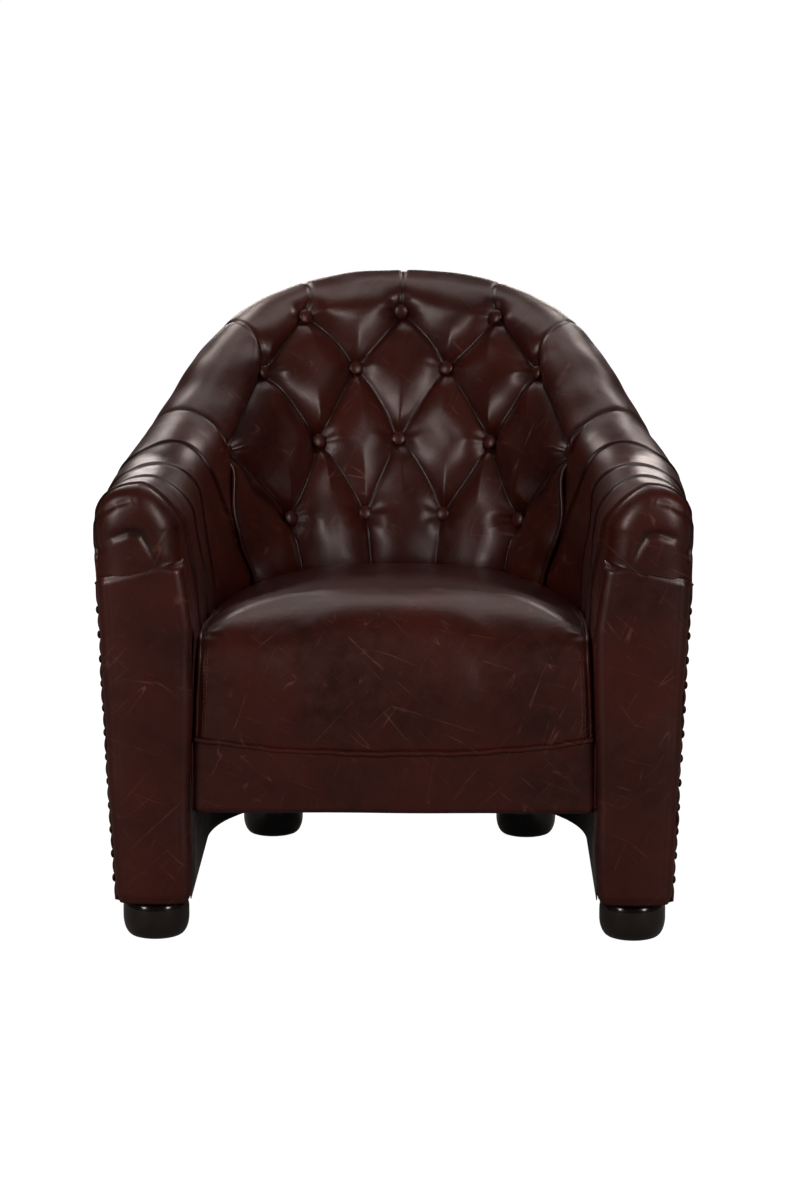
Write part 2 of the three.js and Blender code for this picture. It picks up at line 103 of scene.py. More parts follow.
# Planed beech: straight pores a few millimetres apart, fine flecks, a dull dry surface.
beech, tree, shader, at = start_material("planed beech", 0.62, IOR=1.5)
along = add(tree, "Mapping", {"Vector": at, "Scale": (1, 1, 0.08)}).outputs[0]
pores = add(tree, "TexNoise", {"Vector": along, "Scale": 260.0, "Detail": 4.0}).outputs[0]
waved = {"Vector": along, "Scale": 24.0, "Detail": 3.0, "Distortion": 0.6}
figure = add(tree, "TexNoise", waved).outputs[0]
warm = add(tree, "Mix", {0: figure, 6: linear("#c39a6b"), 7: linear("#a97b4c")}, data_type="RGBA").outputs[2]
flecked = add(tree, "ValToRGB", {0: pores})
flecked.color_ramp.elements[0].position = 0.35
flecked.color_ramp.elements[1].position = 0.6
colour = add(tree, "Mix", {0: flecked.outputs[0], 6: linear("#8d6238"), 7: warm}, data_type="RGBA").outputs[2]
plug(tree, shader, Base_Color=colour)
dents = add(tree, "Bump", {"Height": pores, "Strength": 0.15, "Distance": 0.0005}).outputs[0]
plug(tree, shader, Normal=dents)


def dress(material, *names):
    """Gives the frame's own pieces a finish."""
    for name in names:
        slots = nodes[name].data.materials
        slots.clear()
        slots.append(material)


dress(beech, "front_post_left", "front_post_right", "rear_post_left", "rear_post_right")
dress(beech, "arm_rail_left", "arm_rail_right", "back_top_rail", "seat_horseshoe_rail", "seat_front_rail")

# ---- Plywood and fibreboard ----
# A plywood horseshoe in three lengths makes the foot of the tub and takes the feet. Plywood boards close
# the fronts of the arms, and bending fibreboard is tacked round the outside as a base for the leather.

# Birch plywood: pale broad figure on the faces and 1.5 mm veneers that alternate at the edges.
plywood, tree, shader, at = start_material("birch plywood", 0.6, IOR=1.5)
broad = add(tree, "TexNoise", {"Vector": at, "Scale": 18.0, "Detail": 4.0, "Distortion": 1.2}).outputs[0]
veneers = add(
    tree, "TexWave", {"Vector": at, "Scale": 105.0, "Distortion": 0.3}, bands_direction="Z"
).outputs["Fac"]
face = add(tree, "Mix", {0: broad, 6: linear("#d2b083"), 7: linear("#bb9263")}, data_type="RGBA").outputs[2]
edge = add(tree, "Mix", {0: veneers, 6: linear("#8a6038"), 7: linear("#cda877")}, data_type="RGBA").outputs[2]
upright = add(tree, "SeparateXYZ", {0: add(tree, "NewGeometry", {}).outputs["Normal"]}).outputs["Z"]
level = add(tree, "Math", {0: upright}, operation="ABSOLUTE").outputs[0]
colour = add(tree, "Mix", {0: level, 6: edge, 7: face}, data_type="RGBA").outputs[2]
plug(tree, shader, Base_Color=colour)
dress(plywood, "base_board_left", "base_board_right", "base_board_rear")
dress(plywood, "arm_front_board_left", "arm_front_board_right")

# Bending fibreboard: pressed wood fibre, brown, with flecks about a millimetre long.
fibreboard, tree, shader, at = start_material("pressed fibreboard", 0.75, IOR=1.48)
fibres = add(tree, "TexNoise", {"Vector": at, "Scale": 900.0, "Detail": 3.0}).outputs[0]
clouds = add(tree, "TexNoise", {"Vector": at, "Scale": 30.0}).outputs[0]
brown = add(tree, "Mix", {0: clouds, 6: linear("#7b5c3d"), 7: linear("#694b30")}, data_type="RGBA").outputs[2]
colour = add(tree, "Mix", {0: fibres, 6: linear("#4c3520"), 7: brown}, data_type="RGBA").outputs[2]
plug(tree, shader, Base_Color=colour)
dress(fibreboard, "outer_shell_left", "outer_shell_right", "outer_shell_back")

# ---- Seat springs ----
# Four zigzag springs of hard-drawn 4 mm wire run from the front rail to the back of the horseshoe rail.
# The wire is bright with a trace of drawing oil.
spring_steel, tree, shader, at = start_material("drawn spring wire", 0.32, Metallic=1.0)
streaks = add(tree, "Mapping", {"Vector": at, "Scale": (30, 400, 400)}).outputs[0]
drawn = add(tree, "TexNoise", {"Vector": streaks, "Scale": 3.0, "Detail": 2.0}).outputs[0]
colour = add(tree, "Mix", {0: drawn, 6: linear("#8f9194"), 7: linear("#6c6d70")}, data_type="RGBA").outputs[2]
plug(tree, shader, Base_Color=colour)
dress(spring_steel, *(f"seat_spring_{i}" for i in range(1, 5)))

# ---- Bun feet ----
# Four turned hardwood buns, 86 mm across, each with a fixing stud. They are stained near black and
# lacquered, so they show soft window-like highlights and a hint of brown where light grazes them.
lacquer, tree, shader, at = start_material("black-brown gloss lacquer", 0.2, IOR=1.5, Coat_Weight=0.6)
shader.inputs["Coat Roughness"].default_value = 0.08
rings = add(tree, "Mapping", {"Vector": at, "Scale": (1, 1, 0.2)}).outputs[0]
grain = add(tree, "TexNoise", {"Vector": rings, "Scale": 140.0, "Detail": 5.0}).outputs[0]
colour = add(tree, "Mix", {0: grain, 6: linear("#0d0807"), 7: linear("#1e120d")}, data_type="RGBA").outputs[2]
plug(tree, shader, Base_Color=colour)
ripple = add(tree, "Bump", {"Height": grain, "Strength": 0.08, "Distance": 0.0004}).outputs[0]
plug(tree, shader, Normal=ripple)


def new_piece(name, points, faces, material, slot=None):
    """One smooth-shaded piece of the chair, which stands still with the rest of it."""
    mesh = bpy.data.meshes.new(name)
    mesh.from_pydata([tuple(p) for p in points], [], [tuple(f) for f in faces])
    mesh.validate()
    mesh.shade_smooth()
    mesh.materials.append(material)
    piece = bpy.data.objects.new(name, mesh)
    bpy.context.scene.collection.objects.link(piece)
    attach(piece, "root")
    return piece


def turned(profile, steps):
    """Points and faces of a shape turned about Z. The profile is (radius, height), end to end."""
    points, faces = [], []
    for i in range(steps):
        angle = 2 * math.pi * i / steps
        points += [(r * math.cos(angle), r * math.sin(angle), z) for r, z in profile]
    n = len(profile)
    for i in range(steps):
        a, b = i * n, ((i + 1) % steps) * n
        faces += [(a + k, b + k, b + k + 1, a + k + 1) for k in range(n - 1)]
    return points, faces


# A flat glide ring, the full round of the bun, a tight shoulder up to the flat that meets the board, and
# the stud.
bun = [(0.0001, 0.0), (0.026, 0.0), (0.0275, 0.0008), (0.0305, 0.0008)]
for turn in np.linspace(0.1, math.pi / 2, 10):
    bun.append((0.0305 + 0.0125 * math.sin(turn), 0.0258 - 0.0250 * math.cos(turn)))
for turn in np.linspace(0.05, 1.45, 10):
    bun.append((0.0335 + 0.0095 * math.cos(turn), 0.0360 + 0.0175 * math.sin(turn)))
bun += [(0.033, 0.0541), (0.0325, 0.0564), (0.004, 0.0566), (0.004, 0.0744), (0.0001, 0.0744)]
for name in ("foot_front_left", "foot_front_right", "foot_rear_left", "foot_rear_right"):
    low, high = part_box(name)
    points, faces = turned(bun, 64)
    centre = ((low.x + high.x) / 2, (low.y + high.y) / 2, 0)
    foot = new_piece("turned_" + name, np.array(points) + centre, faces, lacquer, "lacquered_wood")
    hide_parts(name)

# ---- The tub wall's shape ----
# The wall is a horseshoe in plan, upright along the arms, and it rises and leans out round the rear.
# Every cover below is a part of its surface, measured along the wall (p) and round its section (q).
AXIS_Y = -0.100
FRONT_Y = -0.430
CORE = 0.320  # radius of the line that p is measured along
TURN = CORE * math.pi / 2  # p where the round rear ends and the straight arms begin
FOOT_Z, SEAT_Z, FOAM_Z = 0.055, 0.400, 0.255
RIM_HALF, HEM_DROP = 0.058, 0.128  # the shoulders and the hems lie this far below the rim's top
ARM_HEM_Z = 0.472  # the hem along the straight arms
ARM_LENGTH = 0.330  # the straight arms, from the axis to the front


def course(p):
    """Plan direction, distance behind the axis, and share of the rear, at p metres along the wall."""
    phi = np.clip(p, -TURN, TURN) / CORE
    return np.sin(phi), AXIS_Y - np.maximum(np.abs(p) - TURN, 0), np.maximum(np.cos(phi), 0)


def rim(rear):
    """Height of the rim's top, and its outer and inner radius. The rim climbs to the rear in a gentle S."""
    lean, climb = rear**3.4, rear**2 - 0.045 * np.sin(2 * math.pi * rear**2)
    return 0.600 + 0.200 * climb, 0.390 + 0.140 * lean, 0.262 + 0.138 * lean


def section(rear, q, ahead=0.0, inset=0.0):
    """Radius and height at q: -3 foot, -2 hem, -1 outer shoulder, 0 rim, 1 inner shoulder, 2 seat line,
    3 foam's foot, 4 foot inside. The arm's top draws in as it runs ahead of the axis, and is a little lower
    in its middle. An inset of 1 draws both faces in to the middle of the wall."""
    top, outer, inner = rim(rear)
    top = top - 0.009 * np.clip(1 - rear / 0.35, 0, 1) * np.clip((0.31 - ahead) / 0.13, 0, 1)
    top = top + 0.006 * np.sin(math.pi * np.clip((rear - 0.35) / 0.63, 0, 1)) ** 2
    hem_out, outer = outer - 0.010, outer - 0.0105 * np.clip(ahead / 0.18, 0, 1)
    shoulder, hem = top - RIM_HALF, top - HEM_DROP
    middle, half = (outer + inner) / 2, (outer - inner) / 2
    turn = (1 + np.clip(q, -1, 1)) * math.pi / 2
    square = 1 + np.where(q < 0, -0.2, 0.25) * np.clip(ahead / 0.28, 0, 1)
    across = np.sign(np.cos(turn)) * np.abs(np.cos(turn)) ** square
    r, z = middle + half * across, shoulder + RIM_HALF * (1 - inset) * np.abs(np.sin(turn)) ** square
    share = np.clip(q + 2, 0, 1)
    roll = outer + (hem_out - outer) * (1 - share) ** 2
    r, z = np.where(q < -1, roll, r), np.where(q < -1, hem + (shoulder - hem) * share, z)
    share = np.clip(q + 3, 0, 1)
    panel = 0.360 + (hem_out - 0.0015 - 0.360) * share
    r, z = np.where(q < -2, panel, r), np.where(q < -2, FOOT_Z + (hem - FOOT_Z) * share, z)
    share = np.clip(2 - q, 0, 1)
    face = 0.250 + (inner - 0.250) * share**1.1
    r, z = np.where(q > 1, face, r), np.where(q > 1, SEAT_Z + (shoulder - SEAT_Z) * share, z)
    share = np.clip(q - 2, 0, 1)
    r, z = np.where(q > 2, 0.250 + 0.006 * share, r), np.where(q > 2, SEAT_Z + (FOAM_Z - SEAT_Z) * share, z)
    share = np.clip(q - 3, 0, 1)
    r, z = np.where(q > 3, 0.256 + 0.005 * share, r), np.where(q > 3, FOAM_Z + (FOOT_Z - FOAM_Z) * share, z)
    return middle + (r - middle) * (1 - inset), z


def wall(p, q):
    """Points of the wall's surface."""
    across, behind, rear = course(p)
    r, z = section(rear, q, np.maximum(np.abs(p) - TURN, 0))
    return np.stack([across * r, behind + rear * r, z + 0 * r], -1)


def q_at(p, z):
    """The place round the section where the inside face is at height z."""
    top, _, _ = rim(course(p)[2])
    shoulder = top - RIM_HALF
    if z > shoulder:
        return 1 - 2 / math.pi * math.asin(min(1, (z - shoulder) / RIM_HALF))
    return 1 + (shoulder - z) / (shoulder - SEAT_Z)


def outward(grid):
    """Unit normals of a grid. They point out of the padding when its rows run over the rim from outside."""
    normal = np.cross(np.gradient(grid, axis=0), np.gradient(grid, axis=1))
    return normal / np.maximum(np.linalg.norm(normal, axis=-1, keepdims=True), 1e-9)


def smoothed(grid, rounds, axis):
    """The grid with its rows or columns relaxed. Its edges stay where they are."""
    for _ in range(rounds):
        moved = (np.roll(grid, 1, axis) + np.roll(grid, -1, axis)) / 2
        inner = [slice(None)] * grid.ndim
        inner[axis] = slice(1, -1)
        grid = grid.copy()
        grid[tuple(inner)] = 0.5 * grid[tuple(inner)] + 0.5 * moved[tuple(inner)]
    return grid


def sheet(name, grid, material, slot, keep=None, fold_shade=None, flip=False):
    """A piece made from a grid of points. Keep says which faces it has, and its last argument how much
    painted shade each point gets, in folds, seam gaps and round buttons."""
    rows, columns = grid.shape[:2]
    index = np.arange(rows * columns).reshape(rows, columns)
    quads = np.stack([index[:-1, :-1], index[1:, :-1], index[1:, 1:], index[:-1, 1:]], -1)
    if keep is not None:
        quads = quads[keep]
    quads = quads.reshape(-1, 4)
    if flip:
        quads = quads[:, ::-1]
    used, quads = np.unique(quads, return_inverse=True)
    points = grid.reshape(-1, 3)[used]
    piece = new_piece(name, points, quads.reshape(-1, 4), material, slot)
    if fold_shade is not None:
        depth = piece.data.attributes.new("fold_shade", "FLOAT", "POINT")
        depth.data.foreach_set("value", fold_shade.reshape(-1)[used].astype(np.float32))
    return piece


# ---- Black lining ----
# Thin black non-woven cloth covers the inside of the tub under the seat, and is stapled under the seat as
# a dust cover. It is matt, with a fine random web, and it lies in slack waves between its staples.
lining, tree, shader, at = start_material("black non-woven lining", 0.9, IOR=1.45)
shader.inputs["Sheen Weight"].default_value = 0.15
web = add(tree, "TexVoronoi", {"Vector": at, "Scale": 420.0}, feature="DISTANCE_TO_EDGE").outputs[0]
colour = add(tree, "Mix", {0: web, 6: linear("#17140f"), 7: linear("#0e0c0b")}, data_type="RGBA").outputs[2]
plug(tree, shader, Base_Color=colour)
webbed = add(tree, "Bump", {"Height": web, "Strength": 0.3, "Distance": 0.0006}).outputs[0]
plug(tree, shader, Normal=webbed)

p = np.linspace(-TURN - 0.312, TURN + 0.312, 240)
p, q = np.meshgrid(p, np.linspace(3.0, 3.985, 50))
slack = 0.0012 * np.sin(p * 46 + 3 * np.sin(q * 7)) * np.sin((q - 3.0) / 0.985 * math.pi)
across, behind, rear = course(p)
r, z = section(rear, q)
r = 0.2617 + slack - 0.0006
cloth = np.stack([across * r, behind + rear * r, z], -1)
piece = sheet("tub_lining", cloth, lining, "black_cloth")
hem = piece.modifiers.new("cloth thickness", "SOLIDIFY")
hem.thickness = 0.0012
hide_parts("inner_lining")
dress(lining, "dust_cover")

# ---- Outside covers ----
# Three flat hides close the outside of the tub below the rolled rim: one on each side and one behind.
# They are tacked under the foot of the tub and blind-stitched to each other in two upright seams behind
# the arms.
HEM_P = 0.1988  # p of the upright seams

# Pull-up leather: aniline hide, waxed and rubbed, oxblood over espresso. The dye pools in cloudy patches,
# the wax gives a soft wide shine, and handling leaves hair-fine paler scuffs. Folds, seam gaps and the
# hollows round the buttons get painted shade, along with the darker tone that pull-up hide keeps in its
# folds.
leather, tree, shader, at = start_material("oxblood pull-up leather", 0.4, IOR=1.47, Coat_Weight=0.08)
shader.inputs["Coat Roughness"].default_value = 0.28
clouds = add(tree, "TexNoise", {"Vector": at, "Scale": 7.0, "Detail": 5.0, "Roughness": 0.6}).outputs[0]
cloudy = add(tree, "MapRange", {0: clouds, 1: 0.36, 2: 0.66, 3: 0.0, 4: 1.0}).outputs[0]
dye = add(tree, "Mix", {0: cloudy, 6: linear("#280b05"), 7: linear("#40130a")}, data_type="RGBA").outputs[2]
mottle = add(tree, "TexNoise", {"Vector": at, "Scale": 55.0, "Detail": 6.0, "Roughness": 0.65}).outputs[0]
mottled = add(tree, "MapRange", {0: mottle, 1: 0.42, 2: 0.72, 3: 0.0, 4: 0.8}).outputs[0]
dye = add(tree, "Mix", {0: mottled, 6: dye, 7: linear("#371008")}, data_type="RGBA").outputs[2]
# Scuffs: straight hair lines 20 to 40 mm long that cross each other in four directions.
scuffs = 0.0
directions = [((0, -0.76, 0.28), 30.0), ((0, -0.76, 2.79), 24.0), ((0, 0.33, -0.23), 34.0),
              ((0, -1.17, 0.69), 26.0)]
for turn, size in directions:
    layers = add(
        tree, "Mapping", {"Vector": at, "Rotation": turn, "Scale": (1, 12, 12)}, vector_type="TEXTURE"
    ).outputs[0]
    lines = add(tree, "TexNoise", {"Vector": layers, "Scale": size, "Detail": 1.0}).outputs[0]
    on_line = add(tree, "Math", {0: lines, 1: 0.5, 2: 0.0032}, operation="COMPARE").outputs[0]
    patches = add(tree, "TexNoise", {"Vector": at, "Scale": size * 1.1, "Detail": 2.0}).outputs[0]
    broken = add(tree, "MapRange", {0: patches, 1: 0.5, 2: 0.72, 3: 0.0, 4: 1.0}).outputs[0]
    stroke = add(tree, "Math", {0: on_line, 1: broken}, operation="MULTIPLY").outputs[0]
    scuffs = add(tree, "Math", {0: scuffs, 1: stroke}, operation="MAXIMUM").outputs[0]
faint = add(tree, "Math", {0: scuffs, 1: 0.45}, operation="MULTIPLY").outputs[0]
dye = add(tree, "Mix", {0: faint, 6: dye, 7: linear("#73483c")}, data_type="RGBA").outputs[2]
# Painted shade: the fold values darken the hide nearly to black in folds, seam gaps and round the buttons.
painted_fold_shade = add(tree, "Attribute", {}, attribute_name="fold_shade", attribute_type="GEOMETRY").outputs["Fac"]
painted_shade = add(tree, "Math", {0: painted_fold_shade, 1: 0.8}, operation="MULTIPLY").outputs[0]
colour = add(tree, "Mix", {0: painted_shade, 6: dye, 7: linear("#0d0504")}, data_type="RGBA").outputs[2]
plug(tree, shader, Base_Color=colour)
patchy = add(tree, "MapRange", {0: mottle, 1: 0.3, 2: 0.7, 3: 0.33, 4: 0.43}).outputs[0]
dulled = add(tree, "Math", {0: scuffs, 1: 0.12}, operation="MULTIPLY").outputs[0]
plug(tree, shader, Roughness=add(tree, "Math", {0: patchy, 1: dulled}, operation="ADD").outputs[0])
# Grain cells are about a millimetre across. They are drawn at 2.5 mm so that they show.
cells = add(tree, "TexVoronoi", {"Vector": at, "Scale": 400.0}, feature="SMOOTH_F1").outputs[0]
rolls = add(tree, "TexNoise", {"Vector": at, "Scale": 30.0, "Detail": 4.0, "Roughness": 0.55}).outputs[0]
grained = add(tree, "Bump", {"Height": cells, "Strength": 0.06, "Distance": 0.0008}).outputs[0]
rolling = {"Height": rolls, "Strength": 0.16, "Distance": 0.003, "Normal": grained}
rolled = add(tree, "Bump", rolling).outputs[0]
plug(tree, shader, Normal=rolled, Coat_Normal=rolled)


def waves(points, size, height, seed):
    """Slow random swells of about this size over points, the same on each run."""
    rng = np.random.default_rng(seed)
    total = np.zeros(points.shape[:-1])
    for _ in range(14):
        way = rng.normal(size=3)
        way *= 2 * math.pi / (size * rng.uniform(0.6, 1.7)) / np.linalg.norm(way)
        total += np.sin(points @ way + rng.uniform(0, 2 * math.pi))
    return total * height / math.sqrt(7)


def thick(piece, thickness):
    """Gives a sheet its thickness, on its inner side."""
    hide = piece.modifiers.new("hide thickness", "SOLIDIFY")
    hide.thickness = thickness
    hide.offset = -1
    return piece


def tucked(grid, amount, sides):
    """The grid with its outermost lines turned in under the piece, on the sides named."""
    normal = outward(grid)
    grid = grid.copy()
    for side in sides:
        line = {"first row": (0,), "last row": (-1,)}.get(side)
        if line is None:
            line = (slice(None), 0 if side == "first column" else -1)
        grid[line] -= normal[line] * amount
    return grid


NAILS = [0.085 + 0.032 * i for i in range(12)]
NAIL_P = TURN + 0.308
nail_spots = np.array([(NAIL_P, -3 + (z - FOOT_Z) / (ARM_HEM_Z - FOOT_Z)) for z in NAILS])


def outside_cover(name, p0, p1, node):
    """The flat hide from p0 to p1, between the foot of the tub and the hems."""
    p, q = np.meshgrid(np.linspace(p0, p1, 1 + int(abs(p1 - p0) / 0.004)), np.linspace(-3, -2.0, 210))
    grid = wall(p, q)
    rise = waves(grid, 0.16, 0.0007, 5)
    # Each nail along an arm's front edge pulls a dimple, and the edge puffs between them.
    for spot_p, spot_q in nail_spots:
        for side in (-1, 1):
            near_nail = np.hypot(p - side * spot_p, (q - spot_q) * (ARM_HEM_Z - FOOT_Z))
            rise += 0.0012 * np.exp(-((near_nail / 0.024) ** 2))
            rise -= 0.0038 * np.exp(-((near_nail / 0.0095) ** 2))
    grid += outward(grid) * rise[..., None]
    grid = tucked(grid, 0.006, ["first row"])
    grid = tucked(grid, 0.0022, ["first column", "last column"])
    piece = thick(sheet(name, grid, leather, "leather"), 0.0022)
    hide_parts(node)


ARM_FRONT_P = TURN + 0.3165
outside_cover("outside_back_hide", -HEM_P, HEM_P, "outside_back_cover")
outside_cover("outside_left_hide", -ARM_FRONT_P, -HEM_P, "outside_arm_cover_left")
outside_cover("outside_right_hide", HEM_P, ARM_FRONT_P, "outside_arm_cover_right")

# ---- Nail strips ----
# Twelve domed nails, 11 mm across and 32 mm apart, hold the front edge of each outside cover down to the
# arm's front board. They are brass, chemically darkened almost to the colour of the hide, and bright only
# on the crowns.
bronzed, tree, shader, at = start_material("bronzed brass nails", 0.34, Metallic=1.0)
worn = add(tree, "TexNoise", {"Vector": at, "Scale": 300.0, "Detail": 3.0}).outputs[0]
colour = add(tree, "Mix", {0: worn, 6: linear("#2a1712"), 7: linear("#5a3a28")}, data_type="RGBA").outputs[2]
plug(tree, shader, Base_Color=colour)
nail_profile = [(0.0001, 0.0034)]
nail_profile += [(0.0055 * math.sin(a), 0.0034 * math.cos(a)) for a in np.linspace(0.15, math.pi / 2, 8)]
nail_profile += [(0.0045, -0.0006), (0.0001, -0.0008)]
head_points, head_faces = turned(nail_profile, 24)
for name, side in (("left", -1), ("right", 1)):
    points, faces = [], []
    for spot_p, spot_q in nail_spots:
        matrix = Vector((side, 0, -0.025)).to_track_quat("Z", "Y").to_matrix()
        centre = wall(spot_p, spot_q) * (side, 1, 1) + np.array((-0.0012 * side, 0, 0))
        faces += [tuple(i + len(points) for i in face) for face in head_faces]
        points += [matrix @ Vector(v) + Vector(centre) for v in head_points]
    strip = new_piece(f"nail_strip_{name}", points, faces, bronzed, "bronzed_brass")
    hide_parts(f"tack_strip_{name}")

# ---- Inside back ----
# One padded hide is buttoned through to the frame in four staggered rows. Its surplus is folded into
# pleats that run from button to button in diamonds, then up over the rim from the top buttons and down to
# the seat from the lowest.
ARM_SEAM_Q = [-3.0, 0.4, 1.0, 1.15, 1.32, 1.5, 1.75, 2.0, 3.0]
ARM_SEAM_ANGLE = [63.0, 63.0, 61.0, 57.5, 59.5, 61.5, 59.5, 53.5, 52.0]
BUTTONS = [
    (0.744, (-20.8, 0.0, 20.8)),
    (0.670, (-34.9, -10.0, 10.2, 35.2)),
    (0.572, (-57.0, -21.4, -0.4, 24.0, 57.0)),
    (0.470, (-34.0, -10.0, 12.5, 38.0)),
]
PLEAT_REACH = 0.045  # from a fold to the crest of the pillow beside it
PILLOW, FOLD_SINK, BUTTON_SINK = 0.0165, 0.0060, 0.0100


def round_rear(degrees):
    """p at a number of degrees round from the middle of the back."""
    return CORE * math.radians(degrees)


def arm_seam(q):
    """Where the inside back meets the arm covers, as p."""
    places = np.linspace(-3, 3, 241)
    line = np.interp(places, ARM_SEAM_Q, ARM_SEAM_ANGLE)
    for _ in range(14):
        line[1:-1] = (line[:-2] + 2 * line[1:-1] + line[2:]) / 4
    return CORE * np.radians(np.interp(q, places, line))


def near(points, path):
    """For each point: its distance to a path, its offset from the path, the path's direction beside it, and
    how far along the path it is (0 to 1)."""
    flat = points.reshape(-1, 3)
    best = np.full(len(flat), 9.0)
    reach, offset = np.zeros(len(flat)), np.zeros((len(flat), 3))
    tangent = np.zeros((len(flat), 3))
    for k in range(len(path) - 1):
        run = path[k + 1] - path[k]
        share = np.clip((flat - path[k]) @ run / (run @ run), 0, 1)
        gap = flat - path[k] - share[:, None] * run
        distance = np.linalg.norm(gap, axis=1)
        closer = distance < best
        best[closer] = distance[closer]
        reach[closer] = (k + share[closer]) / (len(path) - 1)
        offset[closer], tangent[closer] = gap[closer], run
    offset, tangent = offset.reshape(points.shape), tangent.reshape(points.shape)
    return best.reshape(points.shape[:-1]), offset, tangent, reach.reshape(points.shape[:-1])


def run_on_wall(stops, steps=18):
    """A path on the wall through (p, q) stops."""
    stops = np.array(stops)
    t = np.linspace(0, len(stops) - 1, steps)
    k = np.arange(len(stops))
    return wall(np.interp(t, k, stops[:, 0]), np.interp(t, k, stops[:, 1]))


def ramp(value, low, high):
    """0 below low, 1 above high, and an eased rise between them."""
    share = np.clip((value - low) / (high - low), 0, 1)
    return share * share * (3 - 2 * share)


u, q = np.meshgrid(
    np.linspace(-1, 1, 391),
    np.concatenate([np.linspace(-2, -1, 24)[:-1], np.linspace(-1, 1, 100)[:-1], np.linspace(1, 2, 180)[:-1],
                    np.linspace(2, 3, 30)]),
)
p = u * (arm_seam(q) + 0.007)
grid = smoothed(wall(p, q), 14, 0)
normal = outward(grid)
buttons = [(round_rear(a), z) for z, angles in BUTTONS for a in angles]
tufts = np.array([wall(bp, q_at(bp, z)) for bp, z in buttons])
folds = []
for (z, angles), (z_up, angles_up) in zip(BUTTONS[1:], BUTTONS):
    for a in angles:
        for b in angles_up:
            if abs(a - b) < 27:
                pa, pb = round_rear(a), round_rear(b)
                bow = 0.006 * math.sin(a * 3.1 + z * 40)
                stops = []
                for t in np.linspace(0, 1, 9):
                    between = pa + (pb - pa) * t
                    stops.append((between + bow * math.sin(math.pi * t), q_at(between, z + (z_up - z) * t)))
                folds.append(run_on_wall(stops, 12))
top_pleats = []
for a, z, over, high in ((-20.8, 0.744, -18.5, 0.3), (0.0, 0.744, 0.4, 0.3), (20.8, 0.744, 18.8, 0.3),
                         (-34.9, 0.670, -36.5, 0.35), (35.2, 0.670, 36.8, 0.35)):
    pa, po = round_rear(a), round_rear(over)
    top_pleats.append(run_on_wall([(pa, q_at(pa, z)), (po, high), (po, -0.5), (po, -1.7)], 26))
foot_pleats = []
for a, foot in ((-34.0, -33.0), (-10.0, -9.0), (12.5, 11.5), (38.0, 36.0)):
    pa, pf = round_rear(a), round_rear(foot)
    foot_pleats.append(run_on_wall([(pa, q_at(pa, 0.470)), (pf, 2.0), (pf, 3.0)], 12))
side_pleats = [
    run_on_wall([(s * round_rear(57), q_at(round_rear(57), 0.572)),
                 (s * round_rear(47), q_at(round_rear(45), 0.515)),
                 (s * round_rear(36), q_at(round_rear(36), 0.470))], 14)
    for s in (-1, 1)
]
from_fold = np.full(p.shape, 9.0)
for path in folds + foot_pleats + side_pleats:
    from_fold = np.minimum(from_fold, near(grid, path)[0])
seam_gap = (arm_seam(q) - np.abs(p)) * (rim(course(p)[2])[2] / CORE)
over_rim = np.full(p.shape, 9.0)
for path in top_pleats:
    over_rim = np.minimum(over_rim, near(grid, path)[0])
from_button = np.min([np.linalg.norm(grid - t, axis=-1) for t in tufts], axis=0)


def pillow(distance, reach):
    """The round of stuffed hide beside a fold: 0 in the fold, steep at first, 1 on the crest."""
    return (1 - (1 - np.clip(distance / reach, 0, 1)) ** 2) ** 0.72


# The hide is buttoned fully inside, and lies almost smooth over the rim, where the pleats are only
# creases.
quilted = ramp(q, 0.42, 1.05) * (1 - 0.45 * ramp(q, 2.0, 2.4))
dome = pillow(np.minimum(from_fold, over_rim), PLEAT_REACH)
beside_arm = ramp(q, 1.1, 1.5)
rise = quilted * (PILLOW * dome - FOLD_SINK) - BUTTON_SINK * np.exp(-((from_button / 0.019) ** 2))
rise -= (1 - quilted) * 0.0030 * np.exp(-((np.minimum(from_fold, over_rim) / 0.0030) ** 2))
rise -= (0.0015 + 0.0045 * beside_arm) * (1 - pillow(seam_gap, 0.008 + 0.024 * beside_arm))
rise *= 1 + 0.16 * waves(grid, 0.12, 1.0, 3)
# Gathers run out from each button.
for k, t in enumerate(tufts):
    gap = grid - t
    distance = np.linalg.norm(gap, axis=-1)
    way = np.arctan2(gap[..., 2], gap[..., 0])
    rise += 0.0006 * np.exp(-(((distance - 0.022) / 0.011) ** 2)) * np.sin(7 * way + 1.7 * k)
rise += waves(grid, 0.07, 0.0006, 8)
grid = grid + normal * rise[..., None]
grid = smoothed(smoothed(grid, 1, 0), 1, 1)
# Painted shade: how dark the hide is painted in its folds, round the buttons and in the seam beside the arms.
fold_shade = np.exp(-((np.minimum(from_fold, over_rim) / 0.0022) ** 2)) * (0.8 + 0.2 * quilted)
fold_shade = np.maximum(fold_shade, 0.8 * np.exp(-((from_button / 0.014) ** 2)))
fold_shade = np.maximum(fold_shade, np.exp(-((seam_gap / 0.003) ** 2)))
grid = tucked(grid, 0.004, ["last row", "first column", "last column"])
piece = thick(sheet("buttoned_back", grid, leather, "leather", fold_shade=fold_shade), 0.0022)
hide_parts("inside_back_cover", "back_foam")

